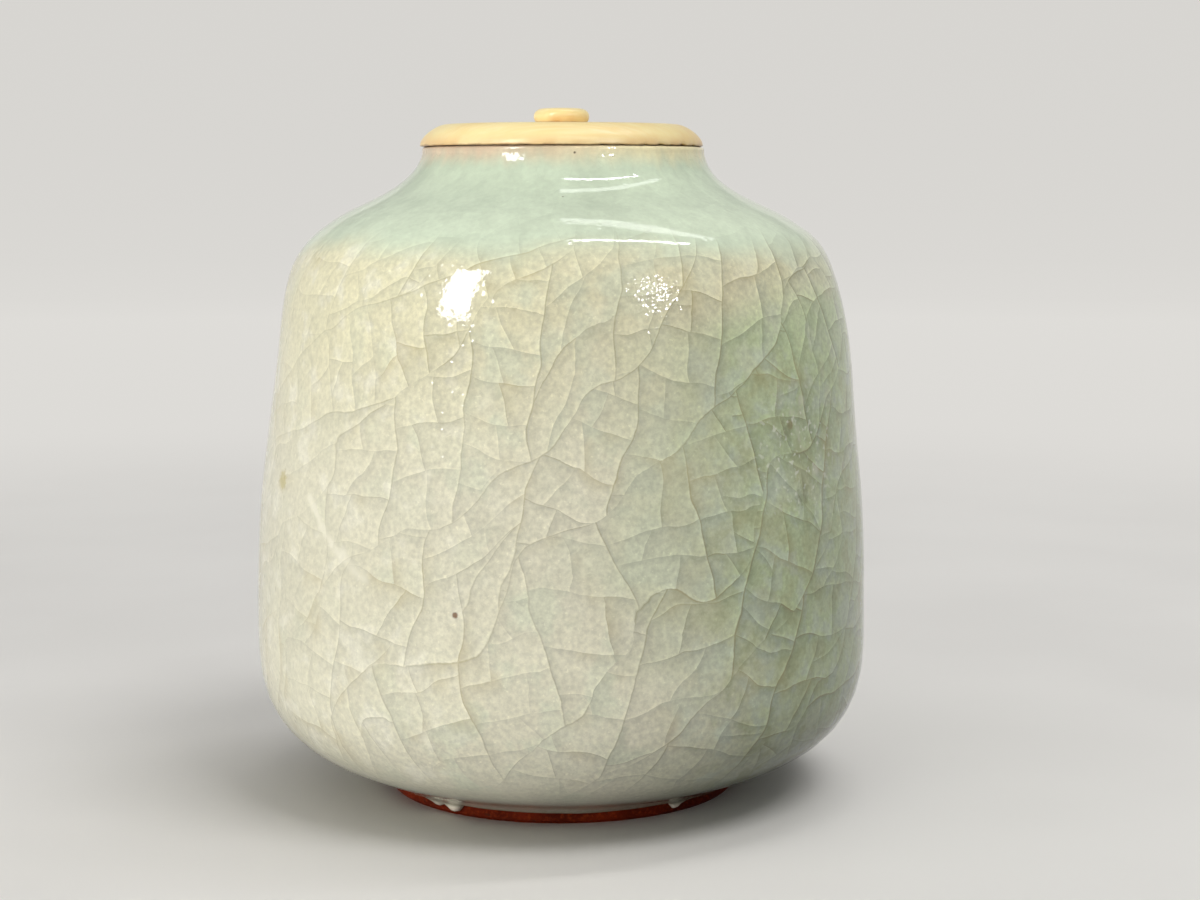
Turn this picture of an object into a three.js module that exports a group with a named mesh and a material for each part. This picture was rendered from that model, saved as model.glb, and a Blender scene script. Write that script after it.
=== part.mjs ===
// A small wheel-thrown jar for powdered tea: red-brown stoneware under a crackled celadon glaze,
// closed by a turned lid with a pegged knob and a gilded paper lining.
// Millimetres, +Z up. The origin is the middle of the foot, on the surface that the jar stands on.
import * as THREE from 'three';

// Thrown clay body: its height, radii of the bare clay, and the rise of each stretch of its outline
const BODY_HEIGHT = 72.65; // table to the top of the rim
const FOOT_RADIUS = 20.2;
const FOOT_BEVEL = 0.4;
const FOOT_BAND = 0.85; // upright band above the bevel
const BELLY_RADIUS = 34.1;
const BELLY_RISE = 14.8; // heel to the widest point
const SHOULDER_RADIUS = 31.9;
const SHOULDER_RISE = 15.5; // end of the straight wall to the root of the neck
const NECK_ROOT_RADIUS = 25.1;
const NECK_RADIUS = 15.7;
const NECK_RISE = 8.1; // root of the neck to the top of the rim
const RIM_ROUND = 0.5;
const CLAY_WALL = 2.2;
const FLOOR_THICKNESS = 4;

// Directions of the outline where its stretches meet, in degrees
const HEEL_SLOPE = 36.4; // above the horizontal, leaving the foot
const WALL_LEAN = 6; // inwards from the vertical, entering the shoulder
const NECK_SLOPE = 33.8; // above the horizontal, entering the neck

// Fullness of each stretch: the length of its two handles, as a share of its chord
const HEEL_FULLNESS = [0.24, 0.61];
const WALL_FULLNESS = [0.51, 0.5];
const SHOULDER_FULLNESS = [0.75, 0.25];
const NECK_FULLNESS = [0.25, 0.36];

// Celadon glaze: a glassy coat that thins over the rim and ends in a rolled edge above the foot
const GLAZE_THICKNESS = 0.75;
const GLAZE_RIM_THICKNESS = 0.3;
const GLAZE_BOND = 0.15; // kept between the coat and the clay
const GLAZE_INSIDE = 4; // how far it runs down inside the mouth
const GLAZE_EDGE = 0.55; // along the clay, from the upright band to the rolled edge
const GLAZE_ROLL = 0.8; // length over which the edge rounds off
const EDGE_WAVE = 0.3;
const EDGE_WAVE_COUNT = 5;
const FILLET_SPARE = 0.35; // by which the foot's fillet is wider than the coat in it

// Runs of glaze that crept down over the foot: degrees from +X, where -90 is the front
const RUN_AZIMUTHS = [-127, -53];
const RUN_HALF_ANGLE = 8;
const RUN_THICKNESS = 0.55;
const RUN_END = 0.2; // above the bevel of the foot

// Turned lid: a plate with a spigot that drops into the mouth
const LID_INSET = 0.1; // by which the plate stays inside the glazed rim
const LID_THICKNESS = 2.6;
const LID_ROUND_WIDTH = 2.4;
const LID_LIP_ROUND = 0.25;
const LID_CROWN = 0.15; // by which the middle of the top stands above its edge
const LID_SEAT = 0.25; // kept between the plate and the rim
const SPIGOT_DEPTH = 1.6;
const SPIGOT_PLAY = 0.4;
const SPIGOT_BEVEL = 0.3;

// Knob: a flattened button with a peg that is glued into the plate
const KNOB_RADIUS = 3.15;
const KNOB_HEIGHT = 1.72;
const KNOB_ROUND = 0.95;
const KNOB_UNDERCUT = 0.3;
const PEG_RADIUS = 1.3;
const PEG_LENGTH = 2;
const PEG_PLAY = 0.1;
const GLUE_LINE = 0.05;

// Gilded paper on the underside of the spigot
const LINING_THICKNESS = 0.15;
const LINING_MARGIN = 0.7;

// Resolution of the faceted solids; stretches run from the heel to the neck
const SEGMENTS = 48;
const KNOB_SEGMENTS = 24;
const OUTSIDE_STEPS = [7, 4, 6, 5];
const INSIDE_STEPS = [4, 2, 5, 4];
const EDGE_STEPS = 5;
const EDGE_CROWDING = 1.6; // draws the steps of the lower glaze towards its edge
const EDGE_STRETCH = 2; // steps of the heel that the lower glaze takes up
const ARC_STEPS = 2;
const ROUND_STEPS = 6;
const RUN_SHARES = [-0.8, -0.4, 0, 0.4, 0.8]; // of its half angle, where a run has sections

const radians = THREE.MathUtils.degToRad;
const { lerp, smoothstep, smootherstep, euclideanModulo } = THREE.MathUtils;
const at = (radius, height) => new THREE.Vector2(radius, height);
const heading = (degrees) => at(Math.cos(radians(degrees)), Math.sin(radians(degrees)));

// A smooth stretch of outline between two points, leaving and entering in the given directions.
function stretch(start, leaving, end, entering, [startFullness, endFullness]) {
  const chord = start.distanceTo(end);
  const startHandle = start.clone().addScaledVector(leaving, startFullness * chord);
  const endHandle = end.clone().addScaledVector(entering, -endFullness * chord);
  return new THREE.CubicBezierCurve(start, startHandle, endHandle, end);
}

function arc(centreRadius, centreHeight, radius, fromDegrees, toDegrees) {
  const clockwise = toDegrees < fromDegrees;
  const [from, to] = [radians(fromDegrees), radians(toDegrees)];
  return new THREE.EllipseCurve(centreRadius, centreHeight, radius, radius, from, to, clockwise);
}

// Points between two lengths along a curve, each with the normal on the curve's right-hand side.
function stations(curve, steps, from = 0, to = curve.getLength(), crowding = 1) {
  return Array.from({ length: steps + 1 }, (_, i) => {
    const share = lerp(from, to, (i / steps) ** crowding) / curve.getLength();
    const along = curve.getTangentAt(share);
    return { point: curve.getPointAt(share), normal: at(along.y, -along.x) };
  });
}

const offset = ({ point, normal }, distance) => point.clone().addScaledVector(normal, distance);
const points = (list) => list.map(({ point }) => point);

// Outline of the clay, from the table to the rim
const footFillet = GLAZE_THICKNESS + GLAZE_BOND + FILLET_SPARE;
const foot = at(FOOT_RADIUS, FOOT_BEVEL);
const bandTop = at(FOOT_RADIUS, FOOT_BEVEL + FOOT_BAND);
const filletCurve = arc(bandTop.x + footFillet, bandTop.y, footFillet, 180, 90 + HEEL_SLOPE);
const heel = filletCurve.getPoint(1);
const belly = at(BELLY_RADIUS, heel.y + BELLY_RISE);
const neckRoot = at(NECK_ROOT_RADIUS, BODY_HEIGHT - NECK_RISE);
const shoulder = at(SHOULDER_RADIUS, neckRoot.y - SHOULDER_RISE);
const rim = at(NECK_RADIUS, BODY_HEIGHT - RIM_ROUND);
const mouthRadius = NECK_RADIUS - CLAY_WALL;

const upright = heading(90);
const intoShoulder = heading(90 + WALL_LEAN);
const intoNeck = heading(180 - NECK_SLOPE);
const heelCurve = stretch(heel, heading(HEEL_SLOPE), belly, upright, HEEL_FULLNESS);
const wallCurve = stretch(belly, upright, shoulder, intoShoulder, WALL_FULLNESS);
const shoulderCurve = stretch(shoulder, intoShoulder, neckRoot, intoNeck, SHOULDER_FULLNESS);
const neckCurve = stretch(neckRoot, intoNeck, rim, upright, NECK_FULLNESS);

// Stations up the thrown wall, from the heel to the rim, with a number of steps on each stretch.
function upTheWall(steps) {
  const curves = [heelCurve, wallCurve, shoulderCurve, neckCurve];
  return curves.flatMap((curve, i) => stations(curve, steps[i]).slice(i > 0 ? 1 : 0));
}

const outside = upTheWall(OUTSIDE_STEPS);
const overRim = [
  ...stations(arc(NECK_RADIUS - RIM_ROUND, rim.y, RIM_ROUND, 0, 90), ARC_STEPS).slice(1),
  ...stations(arc(mouthRadius + RIM_ROUND, rim.y, RIM_ROUND, 90, 180), ARC_STEPS),
];

// The inside of the clay runs parallel to the outside, from the mouth down to the floor.
const inside = upTheWall(INSIDE_STEPS)
  .map((station) => offset(station, -CLAY_WALL))
  .map(({ x, y }) => at(x, Math.max(y, FLOOR_THICKNESS)))
  .reverse();

// A solid of revolution about +Z, from a profile that runs up its outside.
function turned(profile, segments) {
  return new THREE.LatheGeometry(profile, segments).rotateX(Math.PI / 2);
}

function stonewareBody() {
  return turned(
    [
      at(0, 0),
      at(FOOT_RADIUS - FOOT_BEVEL, 0),
      foot,
      ...points(stations(filletCurve, ARC_STEPS)),
      ...points(outside).slice(1),
      ...points(overRim),
      ...inside.slice(1),
      at(0, FLOOR_THICKNESS),
    ],
    SEGMENTS,
  );
}

// The lowest glazed clay: the upright band, its fillet and the start of the heel
const lowerClay = new THREE.CurvePath();
lowerClay.add(new THREE.LineCurve(foot, bandTop));
lowerClay.add(filletCurve);
lowerClay.add(heelCurve);
const edgeAtRest = FOOT_BAND + GLAZE_EDGE;
const lowerGlazeEnd =
  FOOT_BAND + filletCurve.getLength() + (heelCurve.getLength() * EDGE_STRETCH) / OUTSIDE_STEPS[0];

// The glaze inside the mouth follows the clay's inner wall down from the rim.
const mouthCurve = new THREE.SplineCurve(inside.slice(0, INSIDE_STEPS[3] + 1));
const downTheMouth = stations(mouthCurve, ARC_STEPS, 0, GLAZE_INSIDE);

const turnBetween = (a, b) => Math.abs(euclideanModulo(a - b + 180, 360) - 180);

// 1 in the middle of a run of glaze, falling to 0 at its sides.
function runShare(azimuth) {
  const shares = RUN_AZIMUTHS.map((middle) => 1 - turnBetween(azimuth, middle) / RUN_HALF_ANGLE);
  return smootherstep(Math.max(...shares), 0, 1);
}

// One closed section of the coat: up the outside, over the rim, into the mouth and back along the clay.
function glazeSection(azimuth) {
  const onRun = runShare(azimuth);
  const wavyEdge = edgeAtRest + EDGE_WAVE * Math.sin(radians(EDGE_WAVE_COUNT * azimuth));
  const edge = lerp(wavyEdge, RUN_END, onRun);
  const lower = stations(lowerClay, EDGE_STEPS, edge, lowerGlazeEnd, EDGE_CROWDING);
  const upper = [...outside.slice(EDGE_STRETCH + 1), ...overRim.slice(0, -1), ...downTheMouth];

  const lowerCoat = lower.map((station, i) => {
    const share = (i / EDGE_STEPS) ** EDGE_CROWDING;
    const rolled = Math.min(1, (share * (lowerGlazeEnd - edge)) / GLAZE_ROLL);
    const full = lerp(lerp(GLAZE_THICKNESS, RUN_THICKNESS, onRun), GLAZE_THICKNESS, share);
    return offset(station, GLAZE_BOND + full * Math.sqrt(1 - (1 - rolled) ** 2));
  });
  const upperCoat = upper.map((station) => {
    const thinning = smoothstep(station.point.y, neckRoot.y, rim.y);
    return offset(station, GLAZE_BOND + lerp(GLAZE_THICKNESS, GLAZE_RIM_THICKNESS, thinning));
  });
  const bond = [...lower.slice(1), ...upper].map((station) => offset(station, GLAZE_BOND));
  return [...lowerCoat, ...upperCoat, ...bond.reverse()];
}

// Even azimuths all round, with more across each run of glaze.
function glazeAzimuths() {
  const pitch = 360 / SEGMENTS;
  const even = Array.from({ length: SEGMENTS }, (_, i) => i * pitch - 180);
  const across = RUN_AZIMUTHS.flatMap((middle) =>
    RUN_SHARES.map((share) => middle + share * RUN_HALF_ANGLE),
  );
  const clear = across.filter((azimuth) =>
    even.every((other) => turnBetween(azimuth, other) > pitch / 10),
  );
  return [...even, ...clear].sort((a, b) => a - b);
}

// A closed ring through sections that stand side by side around +Z.
function ringThrough(azimuths, sectionAt) {
  const sections = azimuths.map(sectionAt);
  const around = sections.length;
  const along = sections[0].length;
  const positions = sections.flatMap((section, i) => {
    const { x: cos, y: sin } = heading(azimuths[i]);
    return section.flatMap(({ x, y }) => [x * cos, x * sin, y]);
  });
  const corner = (i, j) => (i % around) * along + (j % along);
  const triangles = sections.flatMap((section, i) =>
    section.flatMap((_, j) => [
      [corner(i, j), corner(i + 1, j), corner(i, j + 1)],
      [corner(i, j + 1), corner(i + 1, j), corner(i + 1, j + 1)],
    ]),
  );
  return new THREE.BufferGeometry()
    .setAttribute('position', new THREE.Float32BufferAttribute(positions, 3))
    .setIndex(triangles.flat());
}

// Sizes that the lid takes from the glazed rim
const glazedRim = GLAZE_BOND + GLAZE_RIM_THICKNESS;
const lidRadius = NECK_RADIUS + glazedRim - LID_INSET;
const spigotRadius = mouthRadius - glazedRim - SPIGOT_PLAY;
const lidSeatHeight = BODY_HEIGHT + glazedRim + LID_SEAT;

// The lid's pieces are drawn with the plate's underside at height 0.
function lidPlate() {
  const lip = arc(lidRadius - LID_LIP_ROUND, LID_LIP_ROUND, LID_LIP_ROUND, -90, 0);
  const roundRadius = lidRadius - LID_ROUND_WIDTH;
  const roundHeight = LID_THICKNESS - LID_CROWN - LID_LIP_ROUND;
  const round = new THREE.EllipseCurve(
    roundRadius, LID_LIP_ROUND, LID_ROUND_WIDTH, roundHeight, 0, Math.PI / 2,
  );
  const pegHole = PEG_RADIUS + PEG_PLAY;
  const pegHoleFloor = LID_THICKNESS - PEG_LENGTH - PEG_PLAY;
  return turned(
    [
      at(0, -SPIGOT_DEPTH),
      at(spigotRadius - SPIGOT_BEVEL, -SPIGOT_DEPTH),
      at(spigotRadius, SPIGOT_BEVEL - SPIGOT_DEPTH),
      at(spigotRadius, 0),
      ...lip.getPoints(ARC_STEPS),
      ...round.getPoints(ROUND_STEPS).slice(1),
      at(KNOB_RADIUS, LID_THICKNESS),
      at(pegHole, LID_THICKNESS),
      at(pegHole, pegHoleFloor),
      at(0, pegHoleFloor),
    ],
    SEGMENTS,
  );
}

function lidKnob() {
  const waist = KNOB_HEIGHT - KNOB_ROUND;
  const underside = new THREE.QuadraticBezierCurve(
    at(KNOB_RADIUS - KNOB_UNDERCUT, GLUE_LINE),
    at(KNOB_RADIUS, (GLUE_LINE + waist) / 2),
    at(KNOB_RADIUS, waist),
  );
  const top = arc(KNOB_RADIUS - KNOB_ROUND, waist, KNOB_ROUND, 0, 90);
  return turned(
    [
      at(0, -PEG_LENGTH),
      at(PEG_RADIUS, -PEG_LENGTH),
      at(PEG_RADIUS, GLUE_LINE),
      ...underside.getPoints(ARC_STEPS),
      ...top.getPoints(ROUND_STEPS).slice(1),
      at(0, KNOB_HEIGHT),
    ],
    KNOB_SEGMENTS,
  );
}

function lidLining() {
  const radius = spigotRadius - LINING_MARGIN;
  return turned(
    [at(0, -LINING_THICKNESS), at(radius, -LINING_THICKNESS), at(radius, 0), at(0, 0)],
    SEGMENTS,
  );
}

function piece(name, geometry, height, finish) {
  const mesh = new THREE.Mesh(geometry, new THREE.MeshStandardMaterial(finish));
  mesh.name = name;
  mesh.position.z = height;
  return mesh;
}

const clayFinish = { color: 0x8a3f22, roughness: 0.85, metalness: 0 };
const glazeFinish = { color: 0xc6ccb4, roughness: 0.12, metalness: 0 };
const lidFinish = { color: 0xf0d696, roughness: 0.35, metalness: 0 };
const liningFinish = { color: 0xd9a93f, roughness: 0.35, metalness: 1 };

const jar = new THREE.Group();
jar.add(
  piece('stoneware_body', stonewareBody(), 0, clayFinish),
  piece('celadon_glaze', ringThrough(glazeAzimuths(), glazeSection), 0, glazeFinish),
);

const lid = new THREE.Group();
lid.position.z = lidSeatHeight;
lid.add(
  piece('lid_plate', lidPlate(), 0, lidFinish),
  piece('lid_knob', lidKnob(), LID_THICKNESS, lidFinish),
  piece('lid_lining', lidLining(), -SPIGOT_DEPTH - GLUE_LINE, liningFinish),
);

const teaJar = new THREE.Group();
teaJar.add(jar, lid);

export default teaJar;
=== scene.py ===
# %% [markdown]
# # A small tea jar with a crackled glaze
# The jar is a thrown pot of red-brown clay under a thick pale green glaze, closed by a turned lid
# with a button knob. The lesson dresses a fixed frame of solids: every piece below is modelled
# where its solid stands, takes its place and hides it, so nothing has to be fitted afterwards.

# %% Load the frame
import math

import bpy
import numpy as np
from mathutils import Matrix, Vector


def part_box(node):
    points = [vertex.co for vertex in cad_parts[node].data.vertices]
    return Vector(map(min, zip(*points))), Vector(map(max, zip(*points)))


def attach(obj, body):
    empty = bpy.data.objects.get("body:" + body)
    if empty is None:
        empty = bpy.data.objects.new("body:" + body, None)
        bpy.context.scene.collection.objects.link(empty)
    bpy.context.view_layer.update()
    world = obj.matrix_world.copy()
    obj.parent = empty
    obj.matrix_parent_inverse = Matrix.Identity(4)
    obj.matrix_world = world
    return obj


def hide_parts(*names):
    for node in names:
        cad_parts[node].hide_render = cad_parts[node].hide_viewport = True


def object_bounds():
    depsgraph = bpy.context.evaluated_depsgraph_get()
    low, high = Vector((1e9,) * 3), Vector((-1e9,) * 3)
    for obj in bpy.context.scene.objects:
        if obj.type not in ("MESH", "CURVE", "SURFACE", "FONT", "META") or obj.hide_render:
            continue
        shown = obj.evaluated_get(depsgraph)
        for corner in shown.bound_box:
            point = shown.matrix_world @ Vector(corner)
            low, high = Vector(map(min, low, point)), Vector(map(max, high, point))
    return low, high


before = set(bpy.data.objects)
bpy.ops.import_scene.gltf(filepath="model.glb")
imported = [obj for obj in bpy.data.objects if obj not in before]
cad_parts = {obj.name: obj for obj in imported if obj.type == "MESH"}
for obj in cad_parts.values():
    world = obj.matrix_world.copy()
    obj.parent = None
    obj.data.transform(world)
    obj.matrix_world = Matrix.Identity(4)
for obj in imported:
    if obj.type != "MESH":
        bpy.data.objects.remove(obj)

cad_low, cad_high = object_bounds()
MM = 0.001
print("the frame holds", sorted(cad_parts))
print("its box in millimetres:", [round(side / MM, 2) for side in cad_high - cad_low])

# %% [markdown]
# ## Camera
# The view comes first, because every later choice is judged through it. The photograph was taken
# from close by, a little above the lid. Its perspective gives the lens: a picture 1200 pixels wide
# with a focal length of 2250 pixels is a 67.5 mm lens on a sensor 36 mm wide.

# %% Set the camera
PICTURE_WIDTH = 1200
FOCAL_PIXELS = 2250
SENSOR_WIDTH = 36.0
CAMERA_PLACE = (0.0, -0.25823, 0.06973)
CAMERA_PITCH = 6.88
CAMERA_YAW = 0.97
CAMERA_NEAR = 0.01

bpy.ops.object.select_all(action="DESELECT")
camera_turn = (math.radians(90 - CAMERA_PITCH), 0.0, math.radians(-CAMERA_YAW))
bpy.ops.object.camera_add(location=CAMERA_PLACE, rotation=camera_turn)
camera = bpy.context.object
camera.data.sensor_width = SENSOR_WIDTH
camera.data.lens = FOCAL_PIXELS * SENSOR_WIDTH / PICTURE_WIDTH
camera.data.clip_start = CAMERA_NEAR
bpy.context.scene.camera = camera
print("lens", camera.data.lens, "mm")

# %% [markdown]
# ## Outlines
# Everything on this jar was turned: the pot on a wheel, the lid and knob on a lathe. So each piece
# starts as one line, drawn as a Bezier curve in the plane of X and Z, and is turned about Z. A
# stretch of outline is described as a potter would feel it: where it ends, which way it heads at
# both ends, and how full it is between them. The Spin operator could turn the line, but with
# hundreds of steps it takes many seconds. The Screw modifier makes the same faces at once, and when
# it is applied they can be edited like any others.

# %% Draw an outline
CURVE_STEPS = 12
QUARTER_ROUND = (0.3905, 0.3905)


def heading(degrees):
    return np.array([math.cos(math.radians(degrees)), math.sin(math.radians(degrees))])


def straight(end):
    return np.array(end, float), None, None, None


def curved(end, leaving, entering, fullness):
    return np.array(end, float), leaving, entering, fullness


def draw_outline(name, start, stretches):
    """A Bezier curve through (radius, height) knots in millimetres, turned into a chain of edges."""
    bpy.ops.object.select_all(action="DESELECT")
    bpy.ops.curve.primitive_bezier_curve_add(location=(0, 0, 0))
    curve = bpy.context.object
    curve.name = name
    curve.data.resolution_u = CURVE_STEPS
    knots = curve.data.splines[0].bezier_points
    knots.add(len(stretches) + 1 - len(knots))

    def in_space(point):
        return (point[0] * MM, 0.0, point[1] * MM)

    here = np.array(start, float)
    for knot, following, (end, leaving, entering, fullness) in zip(knots, knots[1:], stretches):
        chord = np.linalg.norm(end - here)
        if fullness is None:
            away, back = (end - here) / 3, (here - end) / 3
        else:
            away = heading(leaving) * chord * fullness[0]
            back = -heading(entering) * chord * fullness[1]
        for point in (knot, following):
            point.handle_left_type = point.handle_right_type = "FREE"
        knot.co = in_space(here)
        knot.handle_right = in_space(here + away)
        following.co = in_space(end)
        following.handle_left = in_space(end + back)
        here = end
    knots[0].handle_left = knots[0].co
    knots[-1].handle_right = knots[-1].co
    bpy.ops.object.convert(target="MESH")
    bpy.context.object.data.name = name
    return bpy.context.object


print("an outline takes", CURVE_STEPS, "steps along each stretch")

# %% Turn an outline
HARD_ANGLE = 35
MERGE_WITHIN = 0.001


def positions(piece):
    """The piece's vertices as an array, in millimetres."""
    flat = np.empty(len(piece.data.vertices) * 3)
    piece.data.vertices.foreach_get("co", flat)
    return flat.reshape(-1, 3) / MM


def move_vertices(piece, places):
    piece.data.vertices.foreach_set("co", (places * MM).ravel())
    piece.data.update()


def normals_of(piece):
    flat = np.empty(len(piece.data.vertices) * 3)
    piece.data.vertices.foreach_get("normal", flat)
    return flat.reshape(-1, 3)


def select_only(piece):
    bpy.ops.object.select_all(action="DESELECT")
    piece.select_set(True)
    bpy.context.view_layer.objects.active = piece


def turn_outline(piece, steps, hard_angle=HARD_ANGLE):
    """Turns the chain of edges about Z, closes seam and poles, and points the faces outwards."""
    select_only(piece)
    turning = piece.modifiers.new("turning", "SCREW")
    turning.steps = turning.render_steps = steps
    bpy.ops.object.modifier_apply(modifier=turning.name)
    bpy.ops.object.mode_set(mode="EDIT")
    bpy.ops.mesh.select_all(action="SELECT")
    bpy.ops.mesh.remove_doubles(threshold=MERGE_WITHIN * MM)
    bpy.ops.mesh.normals_make_consistent(inside=False)
    bpy.ops.object.mode_set(mode="OBJECT")
    bpy.ops.object.shade_smooth_by_angle(angle=math.radians(hard_angle))
    print(piece.name, "has", len(piece.data.polygons), "faces")


def smooth_share(value, low, high):
    """0 below low, 1 above high, and an even S between them."""
    share = np.clip((value - low) / (high - low), 0, 1)
    return share * share * (3 - 2 * share)


print("edges sharper than", HARD_ANGLE, "degrees stay hard")

# %% [markdown]
# ## The clay's outline
# The pot leaves its flat foot at a low slope, swells to its widest a quarter of the way up, rises
# in a nearly straight wall that leans in, and closes over a round shoulder into a short neck. The
# widest radius and the height come from the frame; the rest are the pot's own sizes. The solids
# keep a gap under the lid, so that they never touch, and the real rim closes most of it: it rises
# by that much. The inside runs one wall thickness within.

# %% Size the clay
clay_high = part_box("stoneware_body")[1] / MM
FOOT_RADIUS = 20.2
FOOT_BEVEL = 0.4
FOOT_BAND_TOP = 1.25
FOOT_FILLET = 1.25
CLAY_WALL = 2.2
FLOOR_HEIGHT = 4.0
BELLY_RISE = 14.8
SHOULDER_RADIUS = 31.9
SHOULDER_DROP = 23.6
NECK_ROOT_RADIUS = 25.1
NECK_ROOT_DROP = 8.1
NECK_RADIUS = 15.6
RIM_ROUND = 0.5
RIM_RISE = 0.2
HEEL_SLOPE = 36.4
WALL_LEAN = 6.0
NECK_SLOPE = 33.8
RIM_LEAN = 9.5

fillet_fullness = 2 / 3 * math.tan(math.radians(90 - HEEL_SLOPE) / 4)
fillet_fullness /= math.sin(math.radians(90 - HEEL_SLOPE) / 2)
fillet_middle = np.array([FOOT_RADIUS + FOOT_FILLET, FOOT_BAND_TOP])
heel = fillet_middle + FOOT_FILLET * heading(90 + HEEL_SLOPE)
rim_top = clay_high.z + RIM_RISE
rim_height = rim_top - RIM_ROUND
wall_knots = [
    heel,
    (clay_high.x, heel[1] + BELLY_RISE),
    (SHOULDER_RADIUS, clay_high.z - SHOULDER_DROP),
    (NECK_ROOT_RADIUS, clay_high.z - NECK_ROOT_DROP),
    (NECK_RADIUS, rim_height),
]
wall_headings = [HEEL_SLOPE, 90, 90 + WALL_LEAN, 180 - NECK_SLOPE, 90 + RIM_LEAN]
wall_fullness = [(0.24, 0.61), (0.51, 0.5), (0.75, 0.25), (0.233, 0.36)]
print("the foot is", 2 * FOOT_RADIUS, "mm across, and the clay rises to", round(rim_top, 2), "mm")

# %% Draw the clay
outer_wall = [
    curved(wall_knots[i + 1], wall_headings[i], wall_headings[i + 1], wall_fullness[i])
    for i in range(len(wall_fullness))
]
inner_knots = [
    np.array(knot) - CLAY_WALL * heading(along - 90) for knot, along in zip(wall_knots, wall_headings)
]
inner_wall = [
    curved(inner_knots[i], wall_headings[i + 1] + 180, wall_headings[i] + 180, wall_fullness[i][::-1])
    for i in reversed(range(len(wall_fullness)))
]
mouth_radius = NECK_RADIUS - CLAY_WALL
clay_stretches = [
    straight((FOOT_RADIUS - FOOT_BEVEL, 0)),
    straight((FOOT_RADIUS, FOOT_BEVEL)),
    straight((FOOT_RADIUS, FOOT_BAND_TOP)),
    curved(heel, 90, HEEL_SLOPE, (fillet_fullness, fillet_fullness)),
    *outer_wall,
    curved((NECK_RADIUS - RIM_ROUND, rim_top), 90 + RIM_LEAN, 180, QUARTER_ROUND),
    straight((mouth_radius + RIM_ROUND, rim_top)),
    curved((mouth_radius, rim_height), 180, 270, QUARTER_ROUND),
    *inner_wall,
    straight((0, FLOOR_HEIGHT)),
]
pot = draw_outline("stoneware_pot", (0, 0), clay_stretches)
clay_outline = positions(pot)[:, [0, 2]]
print("the clay's outline has", len(clay_outline), "points")

# %% [markdown]
# ## The clay pot
# Turning the outline gives a perfect pot, as no potter's is. Three things are added by moving the
# vertices. The wall sways a fraction of a millimetre to one side, as wheel-thrown walls do. Its
# inside keeps the rings that the potter's fingers left. And the underside keeps the whorl of the
# string that cut the pot from the turning wheel, which goes into the clay, so that the foot still
# stands flat. The base needs rings of edges fine enough to carry the whorl, so it is subdivided
# before the turning.

# %% Turn the clay
AROUND = 192
BASE_CUTS = 4
TOUCHING = 0.01

bpy.ops.object.mode_set(mode="EDIT")
bpy.ops.mesh.select_mode(type="EDGE")
bpy.ops.mesh.select_all(action="DESELECT")
bpy.ops.object.mode_set(mode="OBJECT")
for edge in pot.data.edges:
    ends = [pot.data.vertices[i].co for i in edge.vertices]
    edge.select = all(end.z < TOUCHING * MM for end in ends)
bpy.ops.object.mode_set(mode="EDIT")
bpy.ops.mesh.subdivide(number_cuts=BASE_CUTS)
bpy.ops.object.mode_set(mode="OBJECT")
turn_outline(pot, AROUND)

# %% Sway the wall, and cut the whorl and the throwing rings
SWAYS = [(50.0, 7.0, 0.32), (63.0, 2.2, 0.18), (22.0, 9.0, -0.1), (72.5, 2.4, 0.2)]
WHORL_MIDDLE = (4.0, -3.0)
WHORL_PITCH = 1.9
WHORL_DEPTH = 0.16
WHORL_MARGIN = (2.4, 1.2)
RING_PITCH = 4.6
RING_DEPTH = 0.16
RINGS_BEGIN = (6, 10)
RINGS_END = (58, 63)


def sway(heights):
    """How far the thrown wall stands to the right of its axis at each height, in millimetres."""
    return sum(size * np.exp(-(((heights - middle) / spread) ** 2)) for middle, spread, size in SWAYS)


places = positions(pot)
radius = np.hypot(places[:, 0], places[:, 1])
turn = np.arctan2(places[:, 1], places[:, 0])

from_whorl = places[:, :2] - WHORL_MIDDLE
whorl_turn = np.arctan2(from_whorl[:, 1], from_whorl[:, 0]) / math.tau
whorl = 0.5 - 0.5 * np.cos(math.tau * (np.hypot(*from_whorl.T) / WHORL_PITCH + whorl_turn))
whorl_end, foot_ring = (FOOT_RADIUS - margin for margin in WHORL_MARGIN)
on_base = (places[:, 2] < TOUCHING) * (1 - smooth_share(radius, whorl_end, foot_ring))

inwards = (normals_of(pot)[:, :2] * places[:, :2]).sum(1) < 0
on_inside = smooth_share(places[:, 2], *RINGS_BEGIN) * (1 - smooth_share(places[:, 2], *RINGS_END))
on_inside = inwards * on_inside
rings = RING_DEPTH * np.cos(math.tau * places[:, 2] / RING_PITCH + turn) * on_inside

places[:, 2] += WHORL_DEPTH * whorl * on_base
places[:, :2] *= (1 + rings / np.maximum(radius, 1))[:, None]
places[:, 0] += sway(places[:, 2])
move_vertices(pot, places)
print("the whorl is", round(float((WHORL_DEPTH * whorl * on_base).max()), 2), "mm deep")

# %% [markdown]
# ## The coat of glaze
# The glaze is glass with a thickness of its own. It lies on the clay, thins over the rim, goes a
# little way into the mouth and ends above the foot in a thick rolled edge. Its section is drawn
# along the clay's outline, as distances along the clay and away from it, so it follows the clay
# exactly, and it is turned like the rest. The rim was wiped square before the firing, so there the
# round corner is filled out towards a square one.

# %% Measure the clay under the glaze
GLAZE_BOND = 0.15
GLAZE_THICKNESS = 0.75
GLAZE_RIM_THICKNESS = 0.3
GLAZE_ROLL = 0.8
GLAZE_INSIDE = 4.0
FOOT_KNOT = 2
RIM_KNOT = 8
MOUTH_KNOT = 12
neck_root_height = wall_knots[3][1]

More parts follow.
